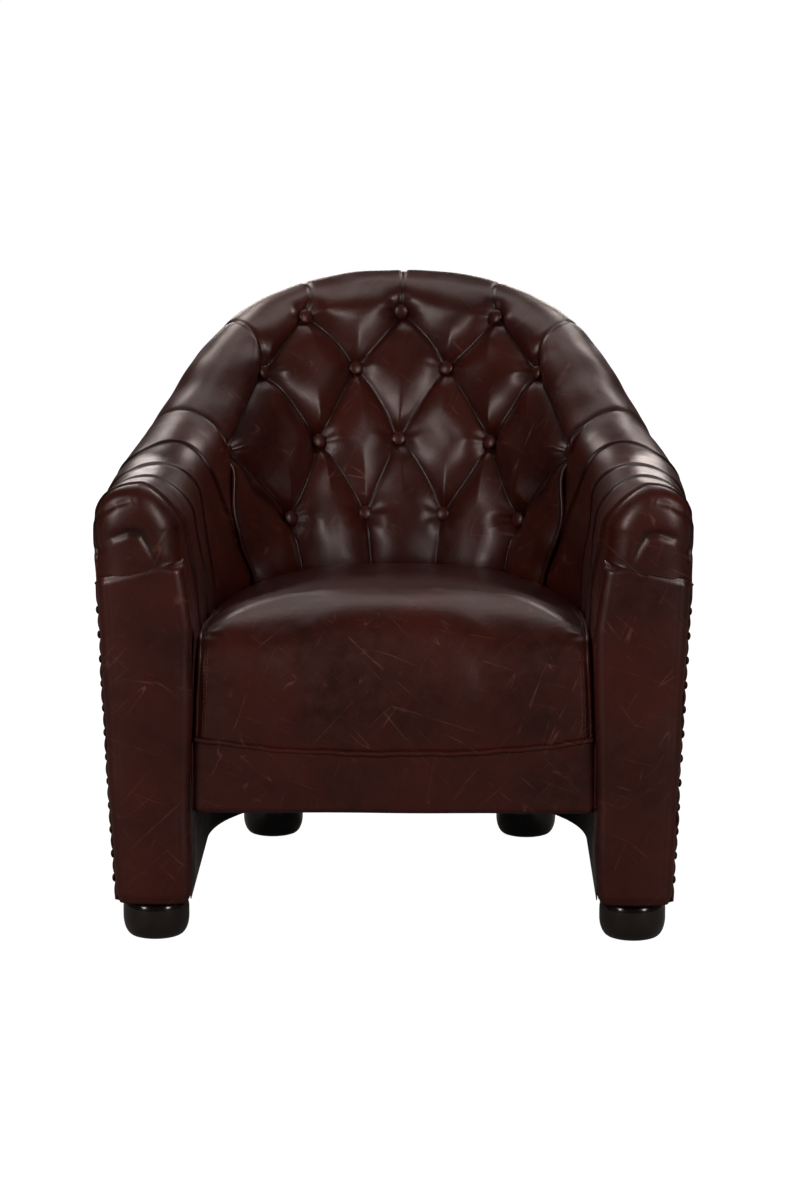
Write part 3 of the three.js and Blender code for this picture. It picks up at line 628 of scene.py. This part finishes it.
# ---- Covered buttons ----
# Sixteen 22 mm metal button moulds are covered in the same hide, which wraps tightly over a shallow dome
# and puckers where it is gathered in behind.
dome_profile = [(0.0001, 0.0062)]
for i in range(1, 13):
    swing = math.radians(90 - 100 * i / 12)
    dome_profile.append((0.0107 * math.cos(swing), 0.0018 + 0.0044 * math.sin(swing)))
dome_profile += [(0.0088, -0.0004), (0.0001, -0.0006)]
names = [f"button_{row}_{i + 1}" for row, (_, angles) in enumerate(BUTTONS, 1) for i in range(len(angles))]
for name, (bp, z) in zip(names, buttons):
    q0 = q_at(bp, z)
    spot = wall(np.array([[bp - 0.003, bp + 0.003]] * 2), np.array([[q0 - 0.02] * 2, [q0 + 0.02] * 2]))
    facing = Vector(outward(spot)[0, 0]).normalized()
    points, faces = turned(dome_profile, 40)
    points = np.array(points)
    angle = np.arctan2(points[:, 1], points[:, 0])
    low = np.clip((0.0035 - points[:, 2]) / 0.0035, 0, 1)
    points[:, :2] *= (1 - 0.03 * low * (1 + np.sin(13 * angle)))[:, None]
    matrix = facing.to_track_quat("Z", "Y").to_matrix()
    centre = Vector(wall(bp, q0)) - facing * 0.0085
    placed = [matrix @ Vector(v) + centre for v in points]
    button = new_piece("covered_" + name, placed, faces, leather, "leather")
    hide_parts(name)

# ---- Arm covers ----
# Each arm's hide runs from the seat up the inside, over the arm and down the outside to a turned hem. It
# is gathered round the curve in knife pleats, and closes over the padded front of the arm, with a hem
# there too.
FRONT_ROUND = 0.026
HEM_FRONT_OUT, HEM_FRONT_IN = 0.473, 0.500
INNER_HEM_Q = 1 + (0.542 - HEM_FRONT_IN) / 0.142


def front_hem(r):
    """Height of the hem across the arm's front. It slants up towards the seat."""
    return HEM_FRONT_OUT + (0.377 - r) / 0.115 * (HEM_FRONT_IN - HEM_FRONT_OUT)


def arm_surface(side, q, steps):
    """An arm as a grid: along the wall from the back's seam to the front, round the front edge, and in over
    the front to its middle line. Also the inset of each column, from 0 on the wall to 1 at that line."""
    seam = arm_seam(q)[:, None]
    straight_end = TURN + ARM_LENGTH - FRONT_ROUND
    along = np.linspace(0, 1, steps)[None, :]
    sweep = seam + (straight_end - seam) * along
    rear_part = wall(sweep, np.broadcast_to(q[:, None], sweep.shape))
    inset = np.linspace(0, 1, 40)[1:] ** 1.8
    ahead = (FRONT_ROUND + 0.003) * (1 - (1 - inset) ** 2.6) ** 0.55
    r, z = section(np.zeros((len(q), 1)), q[:, None], ARM_LENGTH, inset[None, :])
    # On the front, the lower edge of the cover slants up towards the seat.
    outer_leg = np.where(q < -1, np.where(q < -2, q + 3, -1 - q), 0)[:, None]
    inner_leg = np.where(q > 1, (q - 1) / (INNER_HEM_Q - 1), 0)
    inner_leg = np.where(q > INNER_HEM_Q, (4 - q) / (4 - INNER_HEM_Q), inner_leg)[:, None]
    slant = ramp(inset, 0.0, 0.1)[None, :]
    z = z + slant * (outer_leg * (front_hem(r) - ARM_HEM_Z) + inner_leg * (front_hem(r) - HEM_FRONT_IN))
    front = np.stack([r, np.broadcast_to(FRONT_Y + FRONT_ROUND - ahead[None, :], r.shape), z], -1)
    grid = np.concatenate([rear_part, front], 1)
    insets = np.concatenate([np.zeros(steps), inset])
    # Towards the front the inner edge is cut back, so that the arm's end is narrower and rounder there.
    near_front = ramp(-grid[..., 1], 0.355, 0.425)
    cut = near_front * ramp(q, 0.0, 1.2)[:, None] * (1 - 0.75 * ramp(q, 1.5, 2.0)[:, None])
    away = (1 - insets)[None, :]
    grid[..., 0] += 0.0125 * cut * away
    grid[..., 2] -= 0.0050 * near_front * np.sin(np.clip(q, 0, 1) * math.pi)[:, None] * away
    grid[..., 0] *= side
    return grid, insets


# Pleats over each arm, as (distance in front of the tub's axis, q) from the outer hem to the seat. The
# last number is how far the upper layer stands off the lower.
ARM_PLEATS = [
    ([(-0.055, -2.0), (-0.030, -0.4), (-0.068, 0.1), (-0.080, 0.9), (-0.135, 1.4), (-0.195, 2.0)], 0.0030),
    ([(0.130, -2.0), (0.104, -0.35), (0.070, 0.0), (0.030, 0.7), (0.012, 1.3), (-0.030, 2.0), (-0.05, 3.0)],
     0.0030),
    ([(0.215, -2.0), (0.188, -0.35), (0.165, 0.0), (0.176, 0.6), (0.150, 1.3), (0.095, 2.0), (0.07, 3.0)],
     0.0028),
    ([(0.318, -2.0), (0.300, -0.45), (0.292, 0.0), (0.300, 0.45), (0.275, 1.0), (0.245, 2.0), (0.23, 3.0)],
     0.0034),
]


def place_pleat(side, stops):
    """A path over the arm through stops given as distances in front of the tub's axis."""
    t = np.linspace(0, len(stops) - 1, 44)
    k = np.arange(len(stops))
    d = np.interp(t, k, [s[0] for s in stops])
    q = np.interp(t, k, [s[1] for s in stops])
    for _ in range(6):
        d[1:-1] = (d[:-2] + 2 * d[1:-1] + d[2:]) / 4
        q[1:-1] = (q[:-2] + 2 * q[1:-1] + q[2:]) / 4
    path = wall(TURN + d, q)
    path[:, 0] *= side
    return path


def lapped(grid, normal, path, lip, side, reach=0.022):
    """How a knife pleat moves the surface: the layer behind its edge stands proud, and the one in front dips
    under. Also how much painted shade each point gets along the pleat's edge."""
    distance, offset, tangent, along = near(grid, path)
    over = np.sign(np.einsum("...k,...k->...", offset, np.cross(tangent, normal))) * side
    ease = ramp(along, 0.0, 0.06) * (1 - 0.5 * ramp(along, 0.8, 1.0))
    upper = ramp(over * distance, -0.003, 0.003)
    shape = 0.7 * upper * np.exp(-distance / reach) - 0.6 * (1 - upper) * np.exp(-distance / (0.6 * reach))
    return lip * shape * ease, np.exp(-((distance / 0.0026) ** 2)) * ease


def crimp(grid, path, depth, width):
    """How a pinched fold moves the surface, and how much painted shade each point gets in it."""
    distance, _, _, along = near(grid, path)
    ease = np.sin(np.pi * np.clip(along, 0.02, 0.98)) ** 0.5
    return -depth * np.exp(-((distance / width) ** 2)) * ease, np.exp(-((distance / 0.003) ** 2)) * ease


cover_q = np.concatenate([np.linspace(-2, -1, 30)[:-1], np.linspace(-1, 1, 110)[:-1],
                          np.linspace(1, INNER_HEM_Q, 30)[:-1], np.linspace(INNER_HEM_Q, 2, 40)[:-1],
                          np.linspace(2, 3, 24)])
ALONG = 290
for name, side in (("left", -1), ("right", 1)):
    grid, insets = arm_surface(side, cover_q, ALONG)
    normal = outward(grid) * side
    front = np.broadcast_to(insets[None, :], grid.shape[:2])
    facing_us = ramp(front, 0.25, 0.6)[..., None]
    normal = normal * (1 - facing_us) + np.array([0.0, -1.0, 0.0]) * facing_us
    rise = waves(grid, 0.12, 0.0008, 21) - 0.0006
    # Painted shade from the pleats, the pinches and the seam to the back gathers here.
    fold_shade = np.zeros(rise.shape)
    for stops, lip in ARM_PLEATS:
        moved, pleat_shade = lapped(grid, normal, place_pleat(side, stops), lip, side)
        rise, fold_shade = rise + moved, np.maximum(fold_shade, pleat_shade)
    # Short pinched folds where the surplus is taken in at the front, and under the hem's inner end.
    pinches = [
        ([(-0.381, -0.400, 0.552), (-0.372, -0.424, 0.566), (-0.352, -0.431, 0.577),
          (-0.330, -0.430, 0.582)], 0.0045),
        ([(-0.381, -0.405, 0.512), (-0.374, -0.428, 0.520), (-0.358, -0.433, 0.533), (-0.334, -0.433, 0.541),
          (-0.318, -0.433, 0.538), (-0.308, -0.433, 0.522), (-0.300, -0.433, 0.504)], 0.0048),
        ([(-0.312, -0.433, 0.493), (-0.294, -0.433, 0.500), (-0.276, -0.424, 0.502)], 0.0015),
    ]
    for stops, depth in pinches:
        path = np.array(stops) * (-side, 1, 1)
        moved, pleat_shade = crimp(grid, path, depth, 0.0056)
        rise, fold_shade = rise + moved, np.maximum(fold_shade, pleat_shade)
    from_seam = np.concatenate([np.linspace(0, 0.45, ALONG), np.full(len(insets) - ALONG, 9.0)])
    edge = np.broadcast_to(from_seam, grid.shape[:2])
    inside = ramp(cover_q, 1.1, 1.5)[:, None]
    rise -= (0.0012 + 0.0030 * inside) * (1 - pillow(edge, 0.010 + 0.016 * inside))
    # Painted shade in the seam to the back.
    fold_shade = np.maximum(fold_shade, np.exp(-((edge / 0.002) ** 2)))
    grid = grid + normal * rise[..., None]
    grid = tucked(grid, 0.0035 * side, ["first row", "first column"])
    columns = np.arange(grid.shape[1] - 1)[None, :]
    below = cover_q[:-1][:, None] >= INNER_HEM_Q - 1e-6
    keep = ~(below & (columns >= ALONG + 2))
    piece = sheet(f"arm_hide_{name}", grid, leather, "leather", keep=keep, fold_shade=fold_shade, flip=side < 0)
    weld = piece.modifiers.new("closed front", "WELD")
    weld.merge_threshold = 0.0004
    thick(piece, 0.0022)
    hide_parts(f"arm_cover_{name}", f"arm_foam_{name}")

# ---- Arm facings ----
# Below the front hem, each arm is faced with a lightly padded panel whose edges roll round both corners.
# It tucks under the hem above, and is tacked under the foot of the tub.
EDGE_ROUND = 0.016
for name, side in (("left", -1), ("right", 1)):
    share = np.linspace(0, 1, 150)[:, None]
    outer = 0.3585 + (0.3775 - 0.3585) * share
    inner = np.interp(share, [0, 0.3, 0.8, 1.0], [0.2612, 0.2592, 0.2545, 0.2670])
    turn = np.linspace(0, math.pi / 2, 12)[None, :]
    across = np.linspace(0, 1, 40)[None, 1:-1]
    middle_x = (outer - EDGE_ROUND) + ((inner + EDGE_ROUND) - (outer - EDGE_ROUND)) * across
    crown = -0.0035 * np.sin(math.pi * across) ** 0.7
    wing = np.linspace(0, 1, 5)[None, :-1]
    x = np.concatenate([outer + 0 * wing, outer - EDGE_ROUND * (1 - np.cos(turn)), middle_x,
                        (inner + EDGE_ROUND * (1 - np.cos(turn)))[:, ::-1], inner + 0 * wing[:, ::-1]], 1)
    rounded = np.broadcast_to(FRONT_Y + EDGE_ROUND * (1 - np.sin(turn)), (150, 12))
    start = FRONT_Y + EDGE_ROUND
    y = np.concatenate([np.broadcast_to(start + 0.004 * (1 - wing), (150, 4)), rounded,
                        np.broadcast_to(FRONT_Y + crown, (150, 38)), rounded[:, ::-1],
                        np.broadcast_to(start + 0.012 * (1 - wing[:, ::-1]), (150, 4))], 1)
    y[:, -1] += 0.05
    z = FOOT_Z + (front_hem(x) + 0.008 - 0.005 * ramp(0.300 - x, 0, 0.03) - FOOT_Z) * share
    y = y + (0.004 + 0.008 * ramp(0.300 - x, 0, 0.03)) * ramp(share, 0.976, 1.0)
    grid = np.stack([side * x, y, z], -1)
    normal = outward(grid) * side
    rise = waves(grid, 0.14, 0.0009, 33) - 0.0006
    rise -= 0.004 * ramp(0.012 - (z - FOOT_Z), 0, 0.012)
    grid = grid + normal * rise[..., None]
    piece = sheet(f"arm_facing_hide_{name}", grid, leather, "leather", flip=side < 0)
    thick(piece, 0.002)
    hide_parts(f"arm_facing_{name}")

# ---- Seat ----
# The seat is a foam block under one tight hide. The middle panel rolls over the front and is crowned; a
# narrow side panel is sewn to each edge of it. It is stuffed and pulled in along its seams, so the hide
# bulges between them.
SEAT_FRONT, SEAT_FOOT, SEAT_EDGE = -0.404, 0.249, 0.2480


def seat_half(z):
    """Half the seat's width at height z. It fills the tub, which widens downwards."""
    return 0.2508 + 0.0070 * np.clip((SEAT_Z - z) / (SEAT_Z - FOAM_Z), -0.3, 1.6)


def seat_rise(x, y):
    """Height of the seat's top: low and square at its sides, high and round in the middle, and sloping to
    the rear."""
    edge = np.clip(np.abs(x) / SEAT_EDGE, 0, 1) ** 3.2
    top, foot, depth = 0.4425 - 0.045 * edge, 0.295 + 0.060 * edge, 0.118 - 0.088 * edge
    roll = 1 - np.clip((y - SEAT_FRONT) / depth, 0, 1)
    return foot + (top - foot) * (1 - roll**2.3) ** 0.5 - 0.10 * np.maximum(y + 0.30, 0)


CELLS = 90
u, v = np.meshgrid(np.linspace(-1, 1, CELLS), np.linspace(0, 1, CELLS) ** 2)
x = u * 0.2492
y = SEAT_FRONT + v * (AXIS_Y + np.sqrt(0.2492**2 - x * x) * 0.98 - SEAT_FRONT)
high = seat_rise(x, y)
top = np.stack([u * seat_half(high), y, high], -1)
foot = np.stack([u * seat_half(SEAT_FOOT), y, np.full_like(x, SEAT_FOOT)], -1)
points = np.concatenate([top.reshape(-1, 3), foot.reshape(-1, 3)])
index = np.arange(CELLS**2).reshape(CELLS, CELLS)
quads = np.stack([index[:-1, :-1], index[:-1, 1:], index[1:, 1:], index[1:, :-1]], -1).reshape(-1, 4)
edge_loop = np.concatenate([index[0, :-1], index[:-1, -1], index[-1, :0:-1], index[:0:-1, 0]])
skirt = [(a, a + CELLS**2, b + CELLS**2, b) for a, b in zip(edge_loop, np.roll(edge_loop, -1))]
faces = quads.tolist() + (quads[:, ::-1] + CELLS**2).tolist() + skirt
seat = new_piece("seat_cushion", points, faces, leather, "leather")


def evaluated(piece):
    """Replaces a piece's mesh with what its modifiers make of it."""
    bpy.context.view_layer.update()
    made = bpy.data.meshes.new_from_object(piece.evaluated_get(bpy.context.evaluated_depsgraph_get()))
    piece.modifiers.clear()
    piece.data = made
    piece.data.shade_smooth()


def vertex_array(piece, field="co"):
    flat = np.empty(len(piece.data.vertices) * 3)
    piece.data.vertices.foreach_get(field, flat)
    return flat.reshape(-1, 3)


def set_vertices(piece, points):
    piece.data.vertices.foreach_set("co", np.asarray(points, float).ravel())
    piece.data.update()


def seam_path(side):
    """The seam between the middle and a side panel, from the foot of the front up and back along the top."""
    heights = np.linspace(0.268, 0.375, 24)
    rise = [(side * (SEAT_EDGE + 0.0088 * (0.385 - z) / 0.2), SEAT_FRONT, z) for z in heights]
    over = []
    for yy in np.concatenate([np.linspace(0, 0.03, 10)[1:], np.linspace(0.03, 0.30, 50)[1:]]):
        xx = np.sqrt(SEAT_EDGE**2 - max(0, SEAT_FRONT + yy - AXIS_Y) ** 2)
        over.append((side * xx, SEAT_FRONT + yy, float(seat_rise(xx, SEAT_FRONT + yy))))
    return np.array(rise + over)


grain = seat.modifiers.new("even mesh", "REMESH")
grain.mode, grain.voxel_size = "VOXEL", 0.0048
evaluated(seat)
seams = [seam_path(-1), seam_path(1)]
before = vertex_array(seat)
to_seam = np.minimum(near(before, seams[0])[0], near(before, seams[1])[0])
held = seat.vertex_groups.new(name="sewn and tacked")
for i in np.nonzero((before[:, 2] < SEAT_FOOT + 0.014) | (to_seam < 0.004))[0]:
    held.add([int(i)], 1.0, "REPLACE")
cloth = seat.modifiers.new("stuffed hide", "CLOTH")
cloth.settings.use_pressure = True
cloth.settings.uniform_pressure_force = 4.0
cloth.settings.vertex_group_mass = "sewn and tacked"
cloth.settings.quality = 4
cloth.settings.shrink_min = -0.03
cloth.settings.effector_weights.gravity = 0.0
for step in range(1, 21):
    bpy.context.scene.frame_set(step)
evaluated(seat)
after = vertex_array(seat)
# Foam fills out whatever the stretched hide leaves, so short ripples even out and the swell stays
# small.
moved = after - before
ends = np.array([edge.vertices for edge in seat.data.edges])
ends = np.concatenate([ends, ends[:, ::-1]])
loose = (to_seam >= 0.004)[:, None]
for _ in range(70):
    around = [np.bincount(ends[:, 0], moved[ends[:, 1], axis]) for axis in range(3)]
    moved = loose * (moved + np.stack(around, -1) / np.bincount(ends[:, 0])[:, None]) / 2
length = np.linalg.norm(moved, axis=1, keepdims=True)
set_vertices(seat, before + moved * 0.007 / (0.007 + length))
seat.vertex_groups.clear()
bpy.context.scene.frame_set(1)
seat.modifiers.new("fine mesh", "SUBSURF").levels = 1
seat.modifiers["fine mesh"].render_levels = 1
evaluated(seat)
# The seams draw in, with short puckers where the panel turns over the front corners.
points, facing = vertex_array(seat), vertex_array(seat, "normal")
sunk = np.zeros(len(points))
for path in seams:
    distance, offset, tangent, along = near(points, path)
    beat = np.sin(along * 95 + 2.2 * np.sin(along * 31)) * np.exp(-(((along - 0.33) / 0.13) ** 2))
    beside = np.exp(-(((distance - 0.014) / 0.011) ** 2))
    sunk += 0.0020 * np.exp(-((distance / 0.005) ** 2)) + 0.0005 * beat * beside
points += facing * (waves(points, 0.11, 0.0008, 14) - sunk)[:, None]
# Its sides stay clear of the arms.
limit = np.sqrt(np.maximum(seat_half(points[:, 2]) ** 2 - np.maximum(points[:, 1] - AXIS_Y, 0) ** 2, 0))
points[:, 0] = np.clip(points[:, 0], -limit, limit)
set_vertices(seat, points)
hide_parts("seat_cover", "seat_foam")


def laid_on(piece, path, lift):
    """A path moved onto a piece's surface and lifted off it, with the surface's normals."""
    corners = [v.co for v in piece.data.vertices]
    tree = BVHTree.FromPolygons(corners, [f.vertices for f in piece.data.polygons])
    spots, normals = [], []
    for stop in path:
        spot, normal, _, _ = tree.find_nearest(Vector(stop))
        spots.append(spot + normal * lift)
        normals.append(normal)
    return np.array(spots), np.array(normals)


def cord(path, radius, sides=10):
    """Points and faces of a round cord along a path, closed at both ends."""
    path = np.asarray(path, float)
    tangent = np.gradient(path, axis=0)
    tangent /= np.linalg.norm(tangent, axis=1, keepdims=True)
    up = np.cross(tangent[0], (0.3, 0.9, 0.2))
    points, faces = [], []
    for k, (spot, along_path) in enumerate(zip(path, tangent)):
        up -= along_path * (up @ along_path)
        up /= np.linalg.norm(up)
        across = np.cross(along_path, up)
        for i in range(sides):
            turn = 2 * math.pi * i / sides
            points.append(spot + radius * (math.cos(turn) * up + math.sin(turn) * across))
            if k:
                a, b = (k - 1) * sides + i, (k - 1) * sides + (i + 1) % sides
                faces.append((a, b, b + sides, a + sides))
    faces.append(tuple(range(sides))[::-1])
    faces.append(tuple(len(points) - sides + i for i in range(sides)))
    return points, faces


def relaxed(path, rounds):
    """A path with its kinks eased out. Its ends stay where they are."""
    path = np.array(path)
    for _ in range(rounds):
        path[1:-1] = (path[:-2] + 2 * path[1:-1] + path[2:]) / 4
    return path


# Bonded thread, 0.8 mm thick, reddish brown and paler than the hide.
thread, tree, shader, at = start_material("bonded red-brown thread", 0.55, IOR=1.5)
twist = add(tree, "TexNoise", {"Vector": at, "Scale": 900.0}).outputs[0]
colour = add(tree, "Mix", {0: twist, 6: linear("#4d2118"), 7: linear("#6e3527")}, data_type="RGBA").outputs[2]
plug(tree, shader, Base_Color=colour)


def stitched(name, piece, path):
    """A row of 4 mm stitches along a path on a piece's surface, 1 mm apart."""
    path = relaxed(laid_on(piece, path, 0.0002)[0], 4)
    steps = np.concatenate([[0], np.cumsum(np.linalg.norm(np.diff(path, axis=0), axis=1))])
    points, faces = [], []
    for start in np.arange(0.002, steps[-1] - 0.005, 0.005):
        places = start + np.array([0.0, 0.0008, 0.002, 0.0032, 0.004])
        line = np.stack([np.interp(places, steps, path[:, i]) for i in range(3)], -1)
        bead, bead_faces = cord(line, 0.00042, 6)
        faces += [tuple(i + len(points) for i in face) for face in bead_faces]
        points += bead
    return new_piece(name, points, faces, thread)


# The seams are piped, with two rows of topstitching on the middle panel's side of each.
for name, path in (("left", seams[0]), ("right", seams[1])):
    line = relaxed(laid_on(seat, path, 0.0010)[0], 6)
    new_piece(f"seat_piping_{name}", *cord(line, 0.0023, 12), leather, "leather")
    for row, inwards in ((1, 0.0068), (2, 0.0108)):
        inner = path * (1 - inwards / SEAT_EDGE, 1, 1)
        stitched(f"seat_topstitch_{name}_{row}", seat, inner)

# ---- Front border and welt ----
# Below the roll the seat's front is closed by a flat panel of hide, drawn over the front rail and under
# it. A piped seam joins it to the roll. The seam rises a little towards its ends.
BORDER_HALF, BORDER_FOOT = 0.2582, 0.172


def welt_height(x):
    """Height of the seam between the roll and the border. It sags in the middle."""
    return 0.2495 + 0.0195 * np.abs(x / BORDER_HALF) ** 2.5


x = np.linspace(-1, 1, 200)[None, :]
side_turn = np.clip((np.abs(x) - 0.965) / 0.035, 0, 1)
down = np.concatenate([np.linspace(0, 0.93, 50), 0.93 + 0.07 * np.sin(np.linspace(0, math.pi / 2, 8)[1:]),
                       np.full(5, 1.0)])[:, None]
back = np.concatenate([np.zeros(50), 0.007 * (1 - np.cos(np.linspace(0, math.pi / 2, 8)[1:])),
                       np.linspace(0.010, 0.034, 5)])[:, None]
corner = BORDER_FOOT + 0.008 * (1 - np.sqrt(np.maximum(0, 1 - side_turn**2)))
half = BORDER_HALF + 0.002 * down
high = welt_height(x * BORDER_HALF)
z = high + (corner - high) * down
y = SEAT_FRONT - 0.0015 + back + 0.014 * (1 - np.sqrt(np.maximum(0, 1 - side_turn**2)))
grid = np.stack([x * half, y + 0 * z, z], -1)
grid += np.array((0, -1, 0)) * (waves(grid, 0.13, 0.0008, 41) * (1 - side_turn))[..., None]
piece = sheet("border_hide", grid, leather, "leather", flip=True)
thick(piece, 0.0024)
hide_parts("front_border")

x = np.linspace(-BORDER_HALF + 0.002, BORDER_HALF - 0.002, 160)
sway = 0.0006 * np.sin(x * 55) + 0.0004 * np.sin(x * 140 + 1)
line = np.stack([x, np.full_like(x, SEAT_FRONT - 0.0035), welt_height(x) + sway], -1)
welt = new_piece("welt_piping", *cord(line, 0.0036, 12), leather, "leather")
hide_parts("seat_welt")
for name, side in (("left", -1), ("right", 1)):
    z = np.linspace(0.266, BORDER_FOOT + 0.004, 30)
    for row, inwards in ((1, 0.0068), (2, 0.0108)):
        line = np.stack([side * (BORDER_HALF + 0.001 - inwards + 0 * z), SEAT_FRONT - 0.003 + 0 * z, z], -1)
        stitched(f"border_topstitch_{name}_{row}", piece, line[z < 0.260])
    line = np.stack([side * (BORDER_HALF + 0.0008 + 0 * z), SEAT_FRONT + 0.0015 + 0 * z, z], -1)
    new_piece(f"border_piping_{name}", *cord(line, 0.0022, 12), leather, "leather")

# ---- Camera, light and floor ----
# A long lens, 4.7 m in front of the middle of the chair and 1.26 m up, looks a little down on it.
camera = bpy.data.objects.new("camera", bpy.data.cameras.new("camera"))
bpy.context.scene.collection.objects.link(camera)
camera.location = (0.065, -4.7341, 1.2602)
camera.rotation_euler = (math.radians(90 - 10.603), 0, math.radians(0.804))
camera.data.lens = 103.965
camera.data.clip_end = 60
bpy.context.scene.camera = camera


def softbox(name, place, size, power, look_at=(0, -0.1, 0.45)):
    """A rectangular, slightly warm studio light, turned towards a spot."""
    light = bpy.data.lights.new(name, "AREA")
    light.shape, light.size, light.size_y, light.energy = "RECTANGLE", size[0], size[1], power
    light.color = (1.0, 0.88, 0.83)
    lamp = bpy.data.objects.new(name, light)
    lamp.location = place
    lamp.rotation_euler = (Vector(look_at) - Vector(place)).to_track_quat("-Z", "Y").to_euler()
    bpy.context.scene.collection.objects.link(lamp)
    lamp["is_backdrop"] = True
    return lamp


# Softboxes behind the chair put a sheen on the tops of the arms, the overhead one lights the seat's roll,
# and tall ones at the front corners shine on the flanks of the pillows.
softbox("left rear softbox", (-1.2, 2.3, 2.5), (1.0, 0.6), 15, (-0.3, -0.2, 0.6))
softbox("right rear softbox", (1.2, 2.3, 2.5), (1.0, 0.6), 15, (0.3, -0.2, 0.6))
for name, side in (("left low softbox", -1), ("right low softbox", 1)):
    low = softbox(name, (side * 0.82, 4.5, 1.4), (1.0, 0.7), 15, (side * 0.3, -0.2, 0.6))
    low.visible_camera = False
softbox("overhead softbox", (0.0, 0.9, 2.9), (2.0, 0.9), 11)
softbox("left softbox", (-2.5, -2.9, 1.9), (0.7, 2.0), 52)
softbox("right softbox", (2.5, -2.9, 1.9), (0.7, 2.0), 52)
# Large lights fill the shadows from all round. They are hidden from the camera and from reflections.
for name, place, size, power in (
    ("front fill", (0.0, -6.0, 3.0), (7.0, 4.0), 78),
    ("left fill", (-5.0, 0.3, 2.2), (4.0, 3.0), 20),
    ("right fill", (5.0, 0.3, 2.2), (4.0, 3.0), 20),
    ("rear fill", (0.0, 6.0, 3.0), (5.0, 3.0), 45),
):
    fill = softbox(name, place, size, power)
    fill.visible_glossy = fill.visible_camera = False


def seen_directly(tree, direct, otherwise):
    """One strength for what the camera sees straight on, and another for what lights the chair."""
    seen = add(tree, "LightPath", {}).outputs["Is Camera Ray"]
    return add(tree, "MapRange", {0: seen, 1: 0.0, 2: 1.0, 3: otherwise, 4: direct}).outputs[0]


# The camera sees a floor that glows white, so the chair's shadow hardly shows on it. As a light it is
# nearly dark, so it doesn't grey the leather from below.
floor_paint, tree, shader, at = start_material("white studio floor", 0.8)
shader.inputs["Base Color"].default_value = linear("#6c6c6c")
shader.inputs["Emission Color"].default_value = linear("#ffffff")
tree.links.new(seen_directly(tree, 1.0, 0.02), shader.inputs["Emission Strength"])
mesh = bpy.data.meshes.new("studio floor")
mesh.from_pydata([(-12, -12, 0), (12, -12, 0), (12, 12, 0), (-12, 12, 0)], [], [(0, 1, 2, 3)])
mesh.materials.append(floor_paint)
floor = bpy.data.objects.new("studio floor", mesh)
bpy.context.scene.collection.objects.link(floor)
floor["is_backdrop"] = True

world = bpy.data.worlds.new("studio air")
bpy.context.scene.world = world
world.use_nodes = True
air = world.node_tree.nodes["Background"]
air.inputs["Color"].default_value = linear("#ffffff")
world.node_tree.links.new(seen_directly(world.node_tree, 1.0, 0.03), air.inputs["Strength"])
bpy.context.scene.view_settings.view_transform = "Standard"

size = {"cad": [list(v) for v in cad_box], "visual": [list(v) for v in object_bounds()]}
